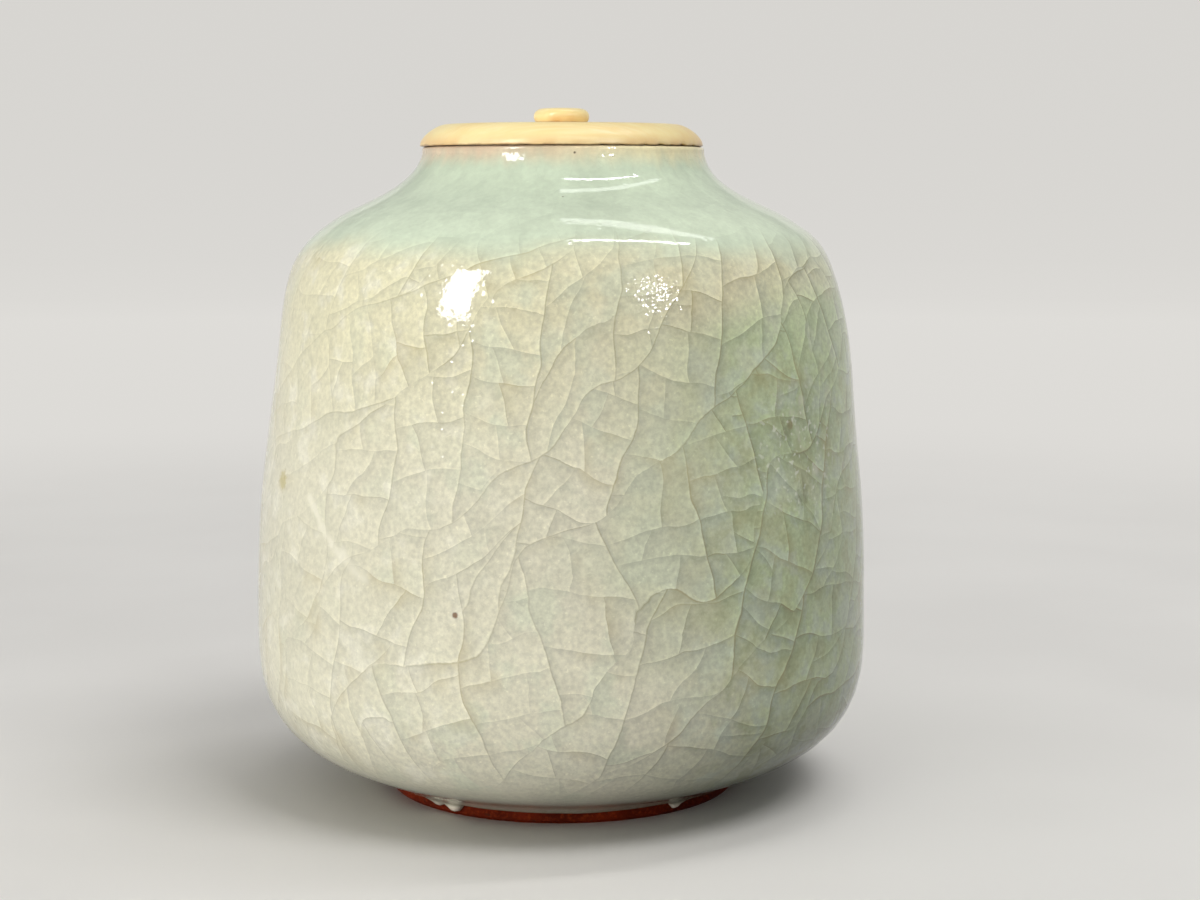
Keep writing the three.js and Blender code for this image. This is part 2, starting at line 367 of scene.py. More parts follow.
clay_line = clay_outline[FOOT_KNOT * CURVE_STEPS:MOUTH_KNOT * CURVE_STEPS + 1]
steps_along = np.hypot(*np.diff(clay_line, axis=0).T)
clay_length = np.concatenate([[0], np.cumsum(steps_along)])
clay_along = np.gradient(clay_line, clay_length, axis=0)
clay_along /= np.linalg.norm(clay_along, axis=1)[:, None]


def off_clay(along, away):
    """Radius and height of points at a length along the clay and a distance away from it."""
    point = [np.interp(along, clay_length, clay_line[:, i]) for i in (0, 1)]
    towards = [np.interp(along, clay_length, clay_along[:, i]) for i in (0, 1)]
    return point[0] + away * towards[1], point[1] - away * towards[0]


mouth_start = clay_length[(MOUTH_KNOT - FOOT_KNOT - 1) * CURVE_STEPS]
corner_start, corner_end = clay_length[[(RIM_KNOT - FOOT_KNOT + i) * CURVE_STEPS for i in (0, 1)]]
coat_end = mouth_start + GLAZE_INSIDE
print("the glazed outline is", round(coat_end, 1), "mm long")

# %% Set the glaze's thickness
SQUARE_RIM = 5.0


def coat_thickness(along, away_from_ends):
    """Thin at the rim and the mouth, squared at the rim's corner and rolled at its ends."""
    height = off_clay(along, 0)[1]
    thinning = smooth_share(height, neck_root_height, rim_height)
    thinning = np.where(along > mouth_start, 1, thinning)
    full = GLAZE_THICKNESS + (GLAZE_RIM_THICKNESS - GLAZE_THICKNESS) * thinning
    corner = np.radians(90) * np.clip((along - corner_start) / (corner_end - corner_start), 0, 1)
    squared = (np.cos(corner) ** SQUARE_RIM + np.sin(corner) ** SQUARE_RIM) ** (-1 / SQUARE_RIM)
    full += (squared - 1) * (RIM_ROUND + GLAZE_BOND + full)
    rolled = np.clip(away_from_ends / GLAZE_ROLL, 0, 1)
    return full * np.sqrt(1 - (1 - rolled) ** 2)


print("the glaze thins from", GLAZE_THICKNESS, "to", GLAZE_RIM_THICKNESS, "mm")

# %% Turn the coat
COAT_AROUND = 288
COAT_HARD_ANGLE = 80
EDGE_AT_REST = 1.4
EDGE_STEPS = 9
WALL_STEP = 1.0
LOWER_END = 7.0

edge_rows = EDGE_AT_REST + GLAZE_ROLL * np.linspace(0, 1, EDGE_STEPS) ** 2
wall_rows = np.arange(edge_rows[-1] + WALL_STEP / 2, coat_end - GLAZE_ROLL, WALL_STEP / 2)
wall_rows = wall_rows[(wall_rows < LOWER_END) | (np.arange(len(wall_rows)) % 2 == 0)]
mouth_rows = coat_end - GLAZE_ROLL * np.linspace(1, 0, EDGE_STEPS) ** 2
wall_rows = wall_rows[(wall_rows < corner_start) | (wall_rows > corner_end)]
corner_rows = np.linspace(corner_start, corner_end, CURVE_STEPS + 1)
rows = np.sort(np.concatenate([edge_rows, wall_rows, corner_rows, mouth_rows]))
ends_away = np.minimum(rows - EDGE_AT_REST, coat_end - rows)
outer_side = np.stack([rows, GLAZE_BOND + coat_thickness(rows, ends_away)], 1)
inner_side = np.stack([rows, np.full(len(rows), GLAZE_BOND)], 1)[-2:0:-1]
section = np.concatenate([outer_side, inner_side])
section_places = np.stack(off_clay(section[:, 0], section[:, 1]), 1)

bpy.ops.object.select_all(action="DESELECT")
bpy.ops.mesh.primitive_circle_add(vertices=len(section), radius=1)
coat = bpy.context.object
coat.name = coat.data.name = "celadon_coat"
move_vertices(coat, np.insert(section_places, 1, 0.0, axis=1))
turn_outline(coat, COAT_AROUND, COAT_HARD_ANGLE)

# %% [markdown]
# ## The edge and the runs
# Molten glaze doesn't stop in a straight line. Round the foot its edge wanders up and down, and in
# places a drop crept on nearly to the table: a double one at the front left and a small one at the
# front right. Each vertex of the lower coat knows how far it lies along the clay, so the edge is
# pulled along the clay and the rest follows.

# %% Find each vertex along the clay
places = positions(coat)
radius = np.hypot(places[:, 0], places[:, 1])
turn = np.arctan2(places[:, 1], places[:, 0])
lower = np.flatnonzero(places[:, 2] < off_clay(LOWER_END, GLAZE_THICKNESS)[1])
radial_gaps = radius[lower, None] - section_places[:, 0]
height_gaps = places[lower, 2, None] - section_places[:, 1]
station = np.hypot(radial_gaps, height_gaps).argmin(1)
along, outside = section[station, 0], station < len(rows)
print(len(lower), "vertices lie in the lower coat")

# %% Pull the edge
EDGE_WAVES = [(5, 0.28, 0.0), (11, 0.09, 1.3), (23, 0.05, 0.4)]
RUNS = [(-132.0, 5.0, 0.42), (-125.4, 5.6, 0.12), (-53.0, 4.0, 0.3)]
RUN_FLANK = 0.85
RUN_SWELL = 0.05


def turn_gap(degrees, middle, half):
    """How far a turn is from a middle, the short way round, where 1 is that half width."""
    return np.abs((degrees - middle + 180) % 360 - 180) / half


def run_shares(degrees):
    """How much each run reaches at a turn: 1 in its middle and 0 at its sides."""
    gaps = [turn_gap(degrees, middle, half) for middle, half, _ in RUNS]
    return [smooth_share(1 - gap, 0, RUN_FLANK) for gap in gaps]


edge = np.full(len(lower), EDGE_AT_REST)
for count, size, start in EDGE_WAVES:
    edge += size * np.sin(count * turn[lower] + start)
shares = run_shares(np.degrees(turn[lower]))
for share, (_, _, end) in zip(shares, RUNS):
    edge += (end - edge) * share

stays = np.clip((LOWER_END - along) / (LOWER_END - EDGE_AT_REST), 0, 1)
pulled = LOWER_END - stays * (LOWER_END - edge)
on_run = np.max(shares, axis=0) * stays
away = GLAZE_BOND + outside * coat_thickness(pulled, pulled - edge) * (1 + RUN_SWELL * on_run)
new_radius, new_height = off_clay(pulled, away)
keep = along > LOWER_END
new_radius[keep], new_height[keep] = radius[lower][keep], places[lower, 2][keep]
new_x, new_y = new_radius * np.cos(turn[lower]), new_radius * np.sin(turn[lower])
places[lower] = np.stack([new_x, new_y, new_height], 1)
places[:, 0] += sway(places[:, 2])
move_vertices(coat, places)
print("the glaze comes down to", round(float(places[:, 2].min()), 2), "mm above the table")

# %% [markdown]
# ## Lumps in the glaze
# Glaze that has flowed lies in soft lumps, too low to see but enough to bend the edge of a
# reflection. A Displace modifier with a cloud texture does that. It works along the normals, so a
# vertex group keeps it to the outside of the coat, and the side that lies on the clay stays put.

# %% Displace the coat
LUMP_WIDTH = 9.0
LUMP_HEIGHT = 0.07
LUMPS_FROM = 3.0
LUMPS_TO = 71.5


def displace_by_clouds(piece, group, width, height, depth=2, middle=0.5, direction="NORMAL"):
    """Moves a group of vertices by a cloud texture of that width and height in millimetres."""
    clouds = bpy.data.textures.new(group.name, type="CLOUDS")
    clouds.noise_scale = width * MM
    clouds.noise_depth = depth
    displace = piece.modifiers.new(group.name, "DISPLACE")
    displace.texture = clouds
    displace.texture_coords = "LOCAL"
    displace.vertex_group = group.name
    displace.strength = height * MM
    displace.mid_level = middle
    displace.direction = direction
    select_only(piece)
    bpy.ops.object.modifier_apply(modifier=displace.name)


faces_out = (normals_of(coat)[:, :2] * places[:, :2]).sum(1) > 0
free = np.flatnonzero(faces_out & (places[:, 2] > LUMPS_FROM) & (places[:, 2] < LUMPS_TO))
lumpy = coat.vertex_groups.new(name="lumpy")
lumpy.add(free.tolist(), 1.0, "REPLACE")
displace_by_clouds(coat, lumpy, LUMP_WIDTH, LUMP_HEIGHT, depth=1)
moved = np.linalg.norm(positions(coat) - places, axis=1)
print("the lumps move the glaze by up to", round(float(moved.max()), 3), "mm")

# %% [markdown]
# ## The lid
# The lid is a turned plate with a domed edge. A spigot under it drops into the mouth, and a hole in
# its top takes the knob's peg. Where the lid has been set down a thousand times, its lower lip is
# worn into small chips on the right of the front. The plate is turned, and the chips are pressed
# into its lip.

# %% Turn the lid
plate_low, plate_high = (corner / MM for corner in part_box("lid_plate"))
lining_low, lining_high = (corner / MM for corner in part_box("lid_lining"))
knob_low, knob_high = (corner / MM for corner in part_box("lid_knob"))
LID_SEAT = 0.04
LIP_ROUND = 0.12
LID_ROUND_WIDTH = 3.0
LID_CROWN = 0.15
LID_CROWN_SLOPE = 1
LINING_MARGIN = 0.7
SPIGOT_BEVEL = 0.3
PEG_RADIUS = 1.3
PEG_PLAY = 0.1
LID_ROUND_FULLNESS = (0.26, 0.28)
LID_AROUND = 320

lid_seat = rim_top + GLAZE_BOND + GLAZE_RIM_THICKNESS + LID_SEAT
lid_radius = plate_high.x
spigot_radius = lining_high.x + LINING_MARGIN
peg_hole = PEG_RADIUS + PEG_PLAY
peg_floor = knob_low.z - PEG_PLAY
plate = draw_outline("turned_lid", (0, plate_low.z), [
    straight((spigot_radius - SPIGOT_BEVEL, plate_low.z)),
    straight((spigot_radius, plate_low.z + SPIGOT_BEVEL)),
    straight((spigot_radius, lid_seat)),
    straight((lid_radius - LIP_ROUND, lid_seat)),
    curved((lid_radius, lid_seat + LIP_ROUND), 0, 90, QUARTER_ROUND),
    curved((lid_radius - LID_ROUND_WIDTH, plate_high.z - LID_CROWN), 90, 180, LID_ROUND_FULLNESS),
    curved((knob_high.x, plate_high.z), 180 - LID_CROWN_SLOPE, 180, QUARTER_ROUND),
    straight((peg_hole, plate_high.z)),
    straight((peg_hole, peg_floor)),
    straight((0, peg_floor)),
])
turn_outline(plate, LID_AROUND)

# %% Chip the lip
CHIPS = [(-74, 1.2, 0.08), (-66, 1.8, 0.06), (-55, 1.1, 0.13), (-47, 2.2, 0.16), (-41, 1.2, 0.1),
         (-33, 2.4, 0.17), (-24, 1.6, 0.13), (-104, 0.9, 0.07), (60, 1.8, 0.12), (150, 1.4, 0.09)]
CHIP_HEIGHT = 0.55
CHIP_MARGIN = (0.9, 0.3)
CHIP_INWARDS = 0.6

places = positions(plate)
radius = np.hypot(places[:, 0], places[:, 1])
degrees = np.degrees(np.arctan2(places[:, 1], places[:, 0]))
chip_begin, chip_full = (lid_radius - margin for margin in CHIP_MARGIN)
near_lip = smooth_share(radius, chip_begin, chip_full)
near_lip *= 1 - smooth_share(places[:, 2], lid_seat + LIP_ROUND, lid_seat + CHIP_HEIGHT)
near_lip *= places[:, 2] > lid_seat - TOUCHING
bite = np.zeros(len(places))
for middle, half, depth in CHIPS:
    gap = turn_gap(degrees, middle, half)
    bite = np.maximum(bite, depth * np.sqrt(np.clip(1 - gap ** 2, 0, 1)))
bite *= near_lip
places[:, 2] += bite
places[:, :2] *= (1 - CHIP_INWARDS * bite / np.maximum(radius, 1))[:, None]
move_vertices(plate, places)
print("the deepest chip goes", round(float(bite.max()), 2), "mm into the lip")

# %% [markdown]
# ## The knob
# The knob is a flattened button, turned from the same material with a peg that is glued into the
# lid. Its underside is drawn in a little, so that a fingernail finds it.

# %% Turn the knob
GLUE_LINE = 0.05
KNOB_UNDERCUT = 0.3
KNOB_ROUND = 0.95
KNOB_DOME = 0.06
KNOB_DOME_SLOPE = 6
KNOB_FLARE = 45
KNOB_SIDE_FULLNESS = (0.3, 0.4)
KNOB_AROUND = 128

knob_foot = plate_high.z + GLUE_LINE
knob_waist = knob_high.z - KNOB_ROUND
knob_dome = 180 - KNOB_DOME_SLOPE
knob = draw_outline("button_knob", (0, knob_low.z), [
    straight((PEG_RADIUS, knob_low.z)),
    straight((PEG_RADIUS, knob_foot)),
    straight((knob_high.x - KNOB_UNDERCUT, knob_foot)),
    curved((knob_high.x, knob_waist), KNOB_FLARE, 90, KNOB_SIDE_FULLNESS),
    curved((knob_high.x - KNOB_ROUND, knob_high.z - KNOB_DOME), 90, knob_dome, QUARTER_ROUND),
    curved((0, knob_high.z), knob_dome, 180, QUARTER_ROUND),
])
turn_outline(knob, KNOB_AROUND)

# %% [markdown]
# ## The lining
# The underside of such a lid is covered with a disc of gilded paper. Glued paper cockles, so the
# disc gets rings and spokes of vertices, soft cockles from a cloud texture that fade towards its
# rim, and then its thickness.

# %% Cut the paper
PAPER_RINGS = 16
PAPER_AROUND = 96

bpy.ops.object.select_all(action="DESELECT")
bpy.ops.mesh.primitive_circle_add(
    vertices=PAPER_AROUND, radius=lining_high.x * MM, fill_type="NOTHING", location=(0, 0, 0))
paper = bpy.context.object
paper.name = paper.data.name = "gilded_lining"
bpy.ops.object.mode_set(mode="EDIT")
bpy.ops.mesh.select_all(action="SELECT")
for ring in range(PAPER_RINGS - 1, 0, -1):
    bpy.ops.mesh.extrude_edges_move()
    bpy.ops.transform.resize(value=(ring / (ring + 1),) * 3, center_override=(0, 0, 0))
bpy.ops.mesh.edge_face_add()
bpy.ops.mesh.poke()
bpy.ops.mesh.select_all(action="SELECT")
bpy.ops.transform.translate(value=(0, 0, lining_high.z * MM))
bpy.ops.mesh.normals_make_consistent(inside=False)
bpy.ops.object.mode_set(mode="OBJECT")
print("the paper has", len(paper.data.polygons), "faces")

# %% Cockle the paper and give it a thickness
COCKLE_WIDTH = 3.2
COCKLE_HEIGHT = 0.05
COCKLED_SHARE = 0.7

places = positions(paper)
radius = np.hypot(places[:, 0], places[:, 1])
cockled = paper.vertex_groups.new(name="cockled")
for i, share in enumerate(1 - smooth_share(radius, lining_high.x * COCKLED_SHARE, lining_high.x)):
    cockled.add([i], float(share), "REPLACE")
displace_by_clouds(paper, cockled, COCKLE_WIDTH, -COCKLE_HEIGHT, middle=0.0, direction="Z")
solid = paper.modifiers.new("thickness", "SOLIDIFY")
solid.thickness = (lining_high.z - lining_low.z) * MM
solid.offset = -1.0
bpy.ops.object.modifier_apply(modifier=solid.name)
bpy.ops.object.shade_smooth_by_angle(angle=math.radians(HARD_ANGLE))
heights = positions(paper)[:, 2]
print("the lining lies", round(heights.min(), 3), "to", round(heights.max(), 3), "mm above the table")

# %% [markdown]
# ## Who carries what
# Each piece takes the place of the solid that it was modelled on and moves with that solid's body:
# pot and glaze with the jar, plate, knob and lining with the lid that lifts off.

# %% Seat the pieces
SEATS = [
    (pot, "jar", "stoneware_body", "stoneware"),
    (coat, "jar", "celadon_glaze", "celadon"),
    (plate, "lid", "lid_plate", "lid_resin"),
    (knob, "lid", "lid_knob", "lid_resin"),
    (paper, "lid", "lid_lining", "gilded_paper"),
]
for piece, body, node, slot in SEATS:
    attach(piece, body)
    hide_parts(node)
    print(piece.name, "rides on", body, "in place of", node)

# %% [markdown]
# ## Finishes
# A finish is a graph of shader nodes. On the screen such nodes are boxes that are joined by hand.
# Here a few short calls make the nodes and join them, so that the graphs below read like sums.

# %% Short calls for nodes


class NodeGraph:
    """A tree of nodes, with one short call for each kind of sum."""

    def __init__(self, tree):
        self.tree = tree

    def node(self, kind, **settings):
        made = self.tree.nodes.new(kind)
        for name, value in settings.items():
            setattr(made, name, value)
        return made

    def feed(self, socket, value):
        """Links a socket to another node's output, or sets it to a plain value."""
        if isinstance(value, bpy.types.NodeSocket):
            self.tree.links.new(value, socket)
        else:
            socket.default_value = value

    def feed_all(self, sockets, values):
        for socket, value in zip(sockets, values):
            self.feed(socket, value)

    def maths(self, operation, *values):
        made = self.node("ShaderNodeMath", operation=operation)
        self.feed_all(made.inputs, values)
        return made.outputs[0]

    def chain(self, operation, total, *others):
        for value in others:
            total = self.maths(operation, total, value)
        return total

    def add(self, *values):
        return self.chain("ADD", *values)

    def minus(self, value, taken):
        return self.maths("SUBTRACT", value, taken)

    def times(self, *values):
        return self.chain("MULTIPLY", *values)

    def largest(self, *values):
        return self.chain("MAXIMUM", *values)

    def smallest(self, *values):
        return self.chain("MINIMUM", *values)

    def vectors(self, operation, *values, scale=None):
        made = self.node("ShaderNodeVectorMath", operation=operation)
        self.feed_all(made.inputs, values)
        if scale is not None:
            self.feed(made.inputs["Scale"], scale)
        number = operation in ("LENGTH", "DISTANCE", "DOT_PRODUCT")
        return made.outputs["Value" if number else "Vector"]

    def combine(self, *values):
        made = self.node("ShaderNodeCombineXYZ")
        self.feed_all(made.inputs, values)
        return made.outputs[0]

    def span(self, value, low, high, start=0.0, end=1.0, smooth=True):
        """Goes from start to end as value goes from low to high, and stays there outside."""
        kind = "SMOOTHSTEP" if smooth else "LINEAR"
        made = self.node("ShaderNodeMapRange", interpolation_type=kind)
        self.feed_all(made.inputs, (value, low, high, start, end))
        return made.outputs[0]

    def roll(self, dice, low, high):
        """A dice from 0 to 1 as a number from low to high."""
        return self.span(dice, 0, 1, low, high, smooth=False)

    def centred(self, noise, size):
        """Noise from 0 to 1 as a swing of about half that size to both sides of 0."""
        return self.times(self.minus(noise, 0.5), size)

    def mix(self, share, first, second, blend="MIX"):
        """Mixes two colours. Of the node's many sockets, 6, 7 and 2 are for colours."""
        made = self.node("ShaderNodeMix", data_type="RGBA", blend_type=blend)
        self.feed_all([made.inputs[i] for i in (0, 6, 7)], (share, first, second))
        return made.outputs[2]


print("short calls:", [name for name in vars(NodeGraph) if not name.startswith("_")])

# %% Read colours off the screen


def paint(red, green, blue):
    """A colour as it is seen on screen, 0 to 255, as the linear colour that a shader takes."""
    shares = [value / 255 for value in (red, green, blue)]
    return tuple(s / 12.92 if s <= 0.04045 else ((s + 0.055) / 1.055) ** 2.4 for s in shares) + (1.0,)


print("a grey of 128 on screen is", round(paint(128, 128, 128)[0], 2), "for a shader")

# %% [markdown]
# ## Patterns in millimetres
# All patterns read the piece's own Object coordinates, turned into millimetres. Their sizes are
# then real sizes, and they stay on the piece from every side.

# %% Short calls for a material


class Finish(NodeGraph):
    """A material on the piece's own coordinates in millimetres."""

    def __init__(self, name):
        self.material = bpy.data.materials.new(name)
        self.material.use_nodes = True
        super().__init__(self.material.node_tree)
        self.shader = self.tree.nodes["Principled BSDF"]
        coordinates = self.node("ShaderNodeTexCoord").outputs["Object"]
        self.place = self.vectors("SCALE", coordinates, scale=1 / MM)
        parts = self.node("ShaderNodeSeparateXYZ")
        self.feed(parts.inputs[0], self.place)
        self.x, self.y, self.z = parts.outputs

    def distance(self, middle):
        return self.vectors("DISTANCE", self.place, middle)

    def noise(self, width, detail=1.0, stretch=None, own=None, rough=0.5):
        """Cloudy noise from 0 to 1 with blobs of that width, drawn out where stretch is below 1."""
        where = self.place if stretch is None else self.vectors("MULTIPLY", self.place, stretch)
        made = self.node("ShaderNodeTexNoise", noise_dimensions="3D" if own is None else "4D")
        self.feed(made.inputs["Vector"], where)
        self.feed(made.inputs["Scale"], 1 / width)
        self.feed(made.inputs["Detail"], detail)
        self.feed(made.inputs["Roughness"], rough)
        if own is not None:
            self.feed(made.inputs["W"], own)
        return made.outputs[0]

    def dice(self, *numbers):
        """Three random numbers from 0 to 1 that belong to the given whole numbers."""
        made = self.node("ShaderNodeTexWhiteNoise", noise_dimensions="3D")
        self.feed(made.inputs["Vector"], self.combine(*numbers))
        parts = self.node("ShaderNodeSeparateColor")
        self.feed(parts.inputs[0], made.outputs["Color"])
        return tuple(parts.outputs)

    def bump(self, height, distance):
        """Turns a height from 0 to 1 into a normal, with a relief of that distance."""
        made = self.node("ShaderNodeBump")
        self.feed(made.inputs["Height"], height)
        self.feed(made.inputs["Distance"], distance * MM)
        return made.outputs[0]

    def surface(self, inputs):
        for name, value in inputs.items():
            self.feed(self.shader.inputs[name], value)

    def put_on(self, piece):
        piece.data.materials.clear()
        piece.data.materials.append(self.material)
        print(self.material.name, "has", len(self.tree.nodes), "nodes")


print("a coordinate of 1 in a pattern is", MM, "m on the piece")

# %% [markdown]
# ## Red stoneware
# The bare clay at the foot is rich in iron: red-brown, sandy, a little scorched where the glaze
# ends. Its reds are painted darker than the clay's own, as painted shade under the heel. Three
# sizes of noise give it a slow change of tone, grains of sand and dark iron specks, and the sand is
# also relief.

# %% Finish the clay
# The clay's own red-brown, painted darker as painted shade under the heel.
CLAY_RED_IN_SHADE = paint(100, 27, 6)
CLAY_DARK_IN_SHADE = paint(68, 15, 3)
SAND_GRAIN = paint(150, 62, 24)
IRON_SPECK = paint(58, 26, 16)
SCORCH = paint(86, 44, 26)
SCORCH_HEIGHT = (1.3, 2.2)
SAND_RELIEF = 0.12

clay = Finish("red_stoneware")
tone = clay.span(clay.noise(6.0, detail=2.0), 0.3, 0.7)
sand = clay.noise(0.35, detail=2.0, rough=0.6)
iron = clay.span(clay.noise(0.9), 0.66, 0.74, 0.0, 0.7)
colour = clay.mix(tone, CLAY_RED_IN_SHADE, CLAY_DARK_IN_SHADE)
colour = clay.mix(clay.span(sand, 0.45, 0.75, 0.0, 0.4), colour, SAND_GRAIN)
colour = clay.mix(iron, colour, IRON_SPECK)
colour = clay.mix(clay.span(clay.z, *SCORCH_HEIGHT, 0.0, 0.6), colour, SCORCH)
clay.surface({
    "Base Color": colour,
    "Roughness": 0.85,
    "Specular IOR Level": 0.15,
    "Normal": clay.bump(sand, SAND_RELIEF),
})
clay.put_on(pot)

# %% [markdown]
# ## The crackle
# Cooling glaze shrinks more than clay and splits. The first cracks are long and wander on a slant
# round the pot. Shorter ones then cross between them, and end where they meet an older crack, so
# crackle has corners like the letter T and not like a honeycomb, which a Voronoi texture would
# draw. The nodes repeat that history in four steps, each with its own dice: slanted bands round the
# pot, blocks in each band, strips in each block, and one crack across each strip.
#
# A crack slants through the glass. Light is caught on its upper left and lost on its lower right,
# so every piece seems to lie on the next like a scale. So the nodes measure how far a point is past
# one crack and before the next.

# %% Measure from a crack
NO_CRACK = 40.0


def parallel_cracks(graph, place, gap, start):
    """The number of a place's strip, and how far it is past one crack and before the next."""
    place = graph.add(graph.maths("DIVIDE", place, gap), start)
    number = graph.maths("FLOOR", place)
    past = graph.times(graph.minus(place, number), gap)
    return number, past, graph.minus(gap, past)


def one_crack(graph, beyond, there):
    """The side that a point is on, and how far it is past and before a crack, where there is one."""
    far_side = graph.maths("GREATER_THAN", beyond, 0.0)
    away = graph.add(graph.maths("ABSOLUTE", beyond), graph.roll(there, NO_CRACK, 0.0))
    past = graph.add(away, graph.roll(far_side, NO_CRACK, 0.0))
    before = graph.add(away, graph.roll(far_side, 0.0, NO_CRACK))
    return far_side, past, before


print("a crack that isn't there counts as", NO_CRACK, "mm away")

# %% [markdown]
# ## The long cracks
# For the first cracks the wall is unrolled like a sheet of paper. One direction is the way round
# the pot and the other the height, which is drawn out where the wall bends in towards the foot and
# the shoulder. A long crack is then a slanted line, slow noise makes it wander, and the bands
# between the lines get numbers.

# %% Unroll the wall and lay the long cracks
LONG_CRACKS = 12
LONG_CRACK_SLOPE = 42.0
WALL_RADIUS = 35.0
STRAIGHT_WALL = (17.0, 49.0)
BENDS_IN = 0.55
RAGGED = 0.3
BEND = 2.6
WANDER = 1.3
CRACKS_PER_BEND = 0.1

crack_per_turn = LONG_CRACKS / (math.tau * WALL_RADIUS)
crack_per_rise = crack_per_turn / math.tan(math.radians(LONG_CRACK_SLOPE))
long_crack_gap = 1 / math.hypot(crack_per_turn, crack_per_rise)

glaze = Finish("celadon")
turns = glaze.times(glaze.maths("ARCTAN2", glaze.y, glaze.x), 1 / math.tau)
from_axis = glaze.vectors("LENGTH", glaze.combine(glaze.x, glaze.y, 0.0))
bent_in = glaze.span(glaze.z, *STRAIGHT_WALL, -BENDS_IN, BENDS_IN, smooth=False)
height = glaze.add(glaze.z, glaze.times(bent_in, glaze.minus(WALL_RADIUS, from_axis)))
ragged = glaze.centred(glaze.noise(1.4, detail=2.0), RAGGED)
bend = glaze.add(glaze.centred(glaze.noise(9.0), BEND), ragged)
wander = glaze.centred(glaze.noise(18.0), WANDER)

around = glaze.times(turns, LONG_CRACKS)
slant = glaze.minus(around, glaze.times(height, crack_per_rise))
slant = glaze.add(slant, wander, glaze.times(bend, CRACKS_PER_BEND))
band = glaze.maths("FLOOR", slant)
across = glaze.minus(slant, band)
sideways = glaze.times(glaze.minus(around, band), 1 / crack_per_turn)
band = glaze.maths("FLOORED_MODULO", band, LONG_CRACKS)
past_long = glaze.times(across, long_crack_gap)
before_long = glaze.times(glaze.minus(1.0, across), long_crack_gap)
print(LONG_CRACKS, "long cracks go round the pot,", round(long_crack_gap, 1), "mm apart")

# %% [markdown]
# ## Blocks and strips
# Each band is cut into blocks, by cracks that stand upright or lie level, as its dice say. Each
# block is cut into strips the other way, or now and then along its band. Every piece bends its
# cracks by a noise of its own, so that no two neighbours run on in line.

# %% Cut the bands into blocks
BLOCK_DICE = (3.0, 1.0)
BLOCK_GAP = (7.5, 12.0)
BLOCK_SWING = (-24, 24)
BLOCK_BEND = (8.0, 4.4)
BLOCK_NUMBERS = 31.0
LEVEL_SHARE = 0.45
START_SHIFT = 9.0
OWN_NOISE = 3.7


def towards(degrees, piece, bend_width, bend_size):
    """Distance along the wall, 0 degrees to the right and -90 down, with the piece's own bend."""
    angle = glaze.maths("RADIANS", degrees)
    level = glaze.times(sideways, glaze.maths("COSINE", angle))
    rise = glaze.times(height, glaze.maths("SINE", angle))
    own_bend = glaze.noise(bend_width, own=glaze.times(piece, OWN_NOISE))
    return glaze.add(level, rise, glaze.centred(own_bend, bend_size), ragged)


kind, wide, start = glaze.dice(band, *BLOCK_DICE)
upright = glaze.maths("GREATER_THAN", kind, LEVEL_SHARE)
angle = glaze.add(glaze.roll(upright, -90, 0), glaze.roll(start, *BLOCK_SWING))
block_gap = glaze.roll(wide, *BLOCK_GAP)
block_place = towards(angle, band, *BLOCK_BEND)
block_start = glaze.times(start, START_SHIFT)
rung, past_block, before_block = parallel_cracks(glaze, block_place, block_gap, block_start)
block = glaze.add(band, glaze.times(rung, BLOCK_NUMBERS))
print("blocks are", BLOCK_GAP[0], "to", BLOCK_GAP[1], "mm wide")

# %% Cut the blocks into strips
STRIP_DICE = (5.0, 2.0)
STRIP_GAP = (3.8, 5.6)
STRIP_SWING = (-22, 22)
STRIP_BEND = (6.0, 3.4)
ALONG_BAND = 0.25
IN_TWO_SHARE = 0.4

kind, wide, start = glaze.dice(block, *STRIP_DICE)
angle = glaze.add(glaze.roll(upright, 0, -90), glaze.roll(start, *STRIP_SWING))
with_band = glaze.maths("LESS_THAN", kind, ALONG_BAND)
count = glaze.add(2.0, glaze.maths("GREATER_THAN", wide, IN_TWO_SHARE))
strip_place = towards(angle, block, *STRIP_BEND)
strip_place = glaze.roll(with_band, strip_place, past_long)
strip_gap = glaze.roll(wide, *STRIP_GAP)
strip_gap = glaze.roll(with_band, strip_gap, glaze.maths("DIVIDE", long_crack_gap, count))
strip_start = glaze.times(start, glaze.minus(1.0, with_band), START_SHIFT)
strip, past_strip, before_strip = parallel_cracks(glaze, strip_place, strip_gap, strip_start)
print("strips are", STRIP_GAP[0], "to", STRIP_GAP[1], "mm wide")

# %% [markdown]
# ## The last cracks
# One tilted crack crosses each strip, and some of the pieces are halved once again, more of them
# towards the right. The nearest crack counts. Some are made faint by moving them away a little, the
# short ones by their dice and the long ones in places.

# %% Cross the strips and find the nearest crack
CROSS_DICE = 8.0
PIECE_DICE = 17.0
CROSS_PLACE = (0.32, 0.68)
CROSS_TILT = (-0.6, 0.6)
MORE_HALVES = (8.0, 26.0)
HALVED_SHARE = (0.04, 0.45)
SHORT_FAINT = 0.25
LONG_FAINT = 0.4

tilt, lean, where = glaze.dice(block, strip, CROSS_DICE)
cross_place = glaze.times(block_gap, glaze.roll(where, *CROSS_PLACE), -1.0)
from_middle = glaze.add(past_strip, glaze.times(strip_gap, -0.5))
cross_tilt = glaze.times(from_middle, glaze.roll(tilt, *CROSS_TILT))
beyond_cross = glaze.add(past_block, cross_place, cross_tilt)
far_side, past_cross, before_cross = one_crack(glaze, beyond_cross, 1.0)

tint, tone, chosen = glaze.dice(block, strip, glaze.add(far_side, PIECE_DICE))
halved = glaze.maths("LESS_THAN", chosen, glaze.span(glaze.x, *MORE_HALVES, *HALVED_SHARE))
half_place = glaze.times(strip_gap, glaze.roll(tone, *CROSS_PLACE), -1.0)
half_tilt = glaze.times(beyond_cross, glaze.roll(lean, *CROSS_TILT))
beyond_half = glaze.add(past_strip, half_place, half_tilt)
_, past_half, before_half = one_crack(glaze, beyond_half, halved)

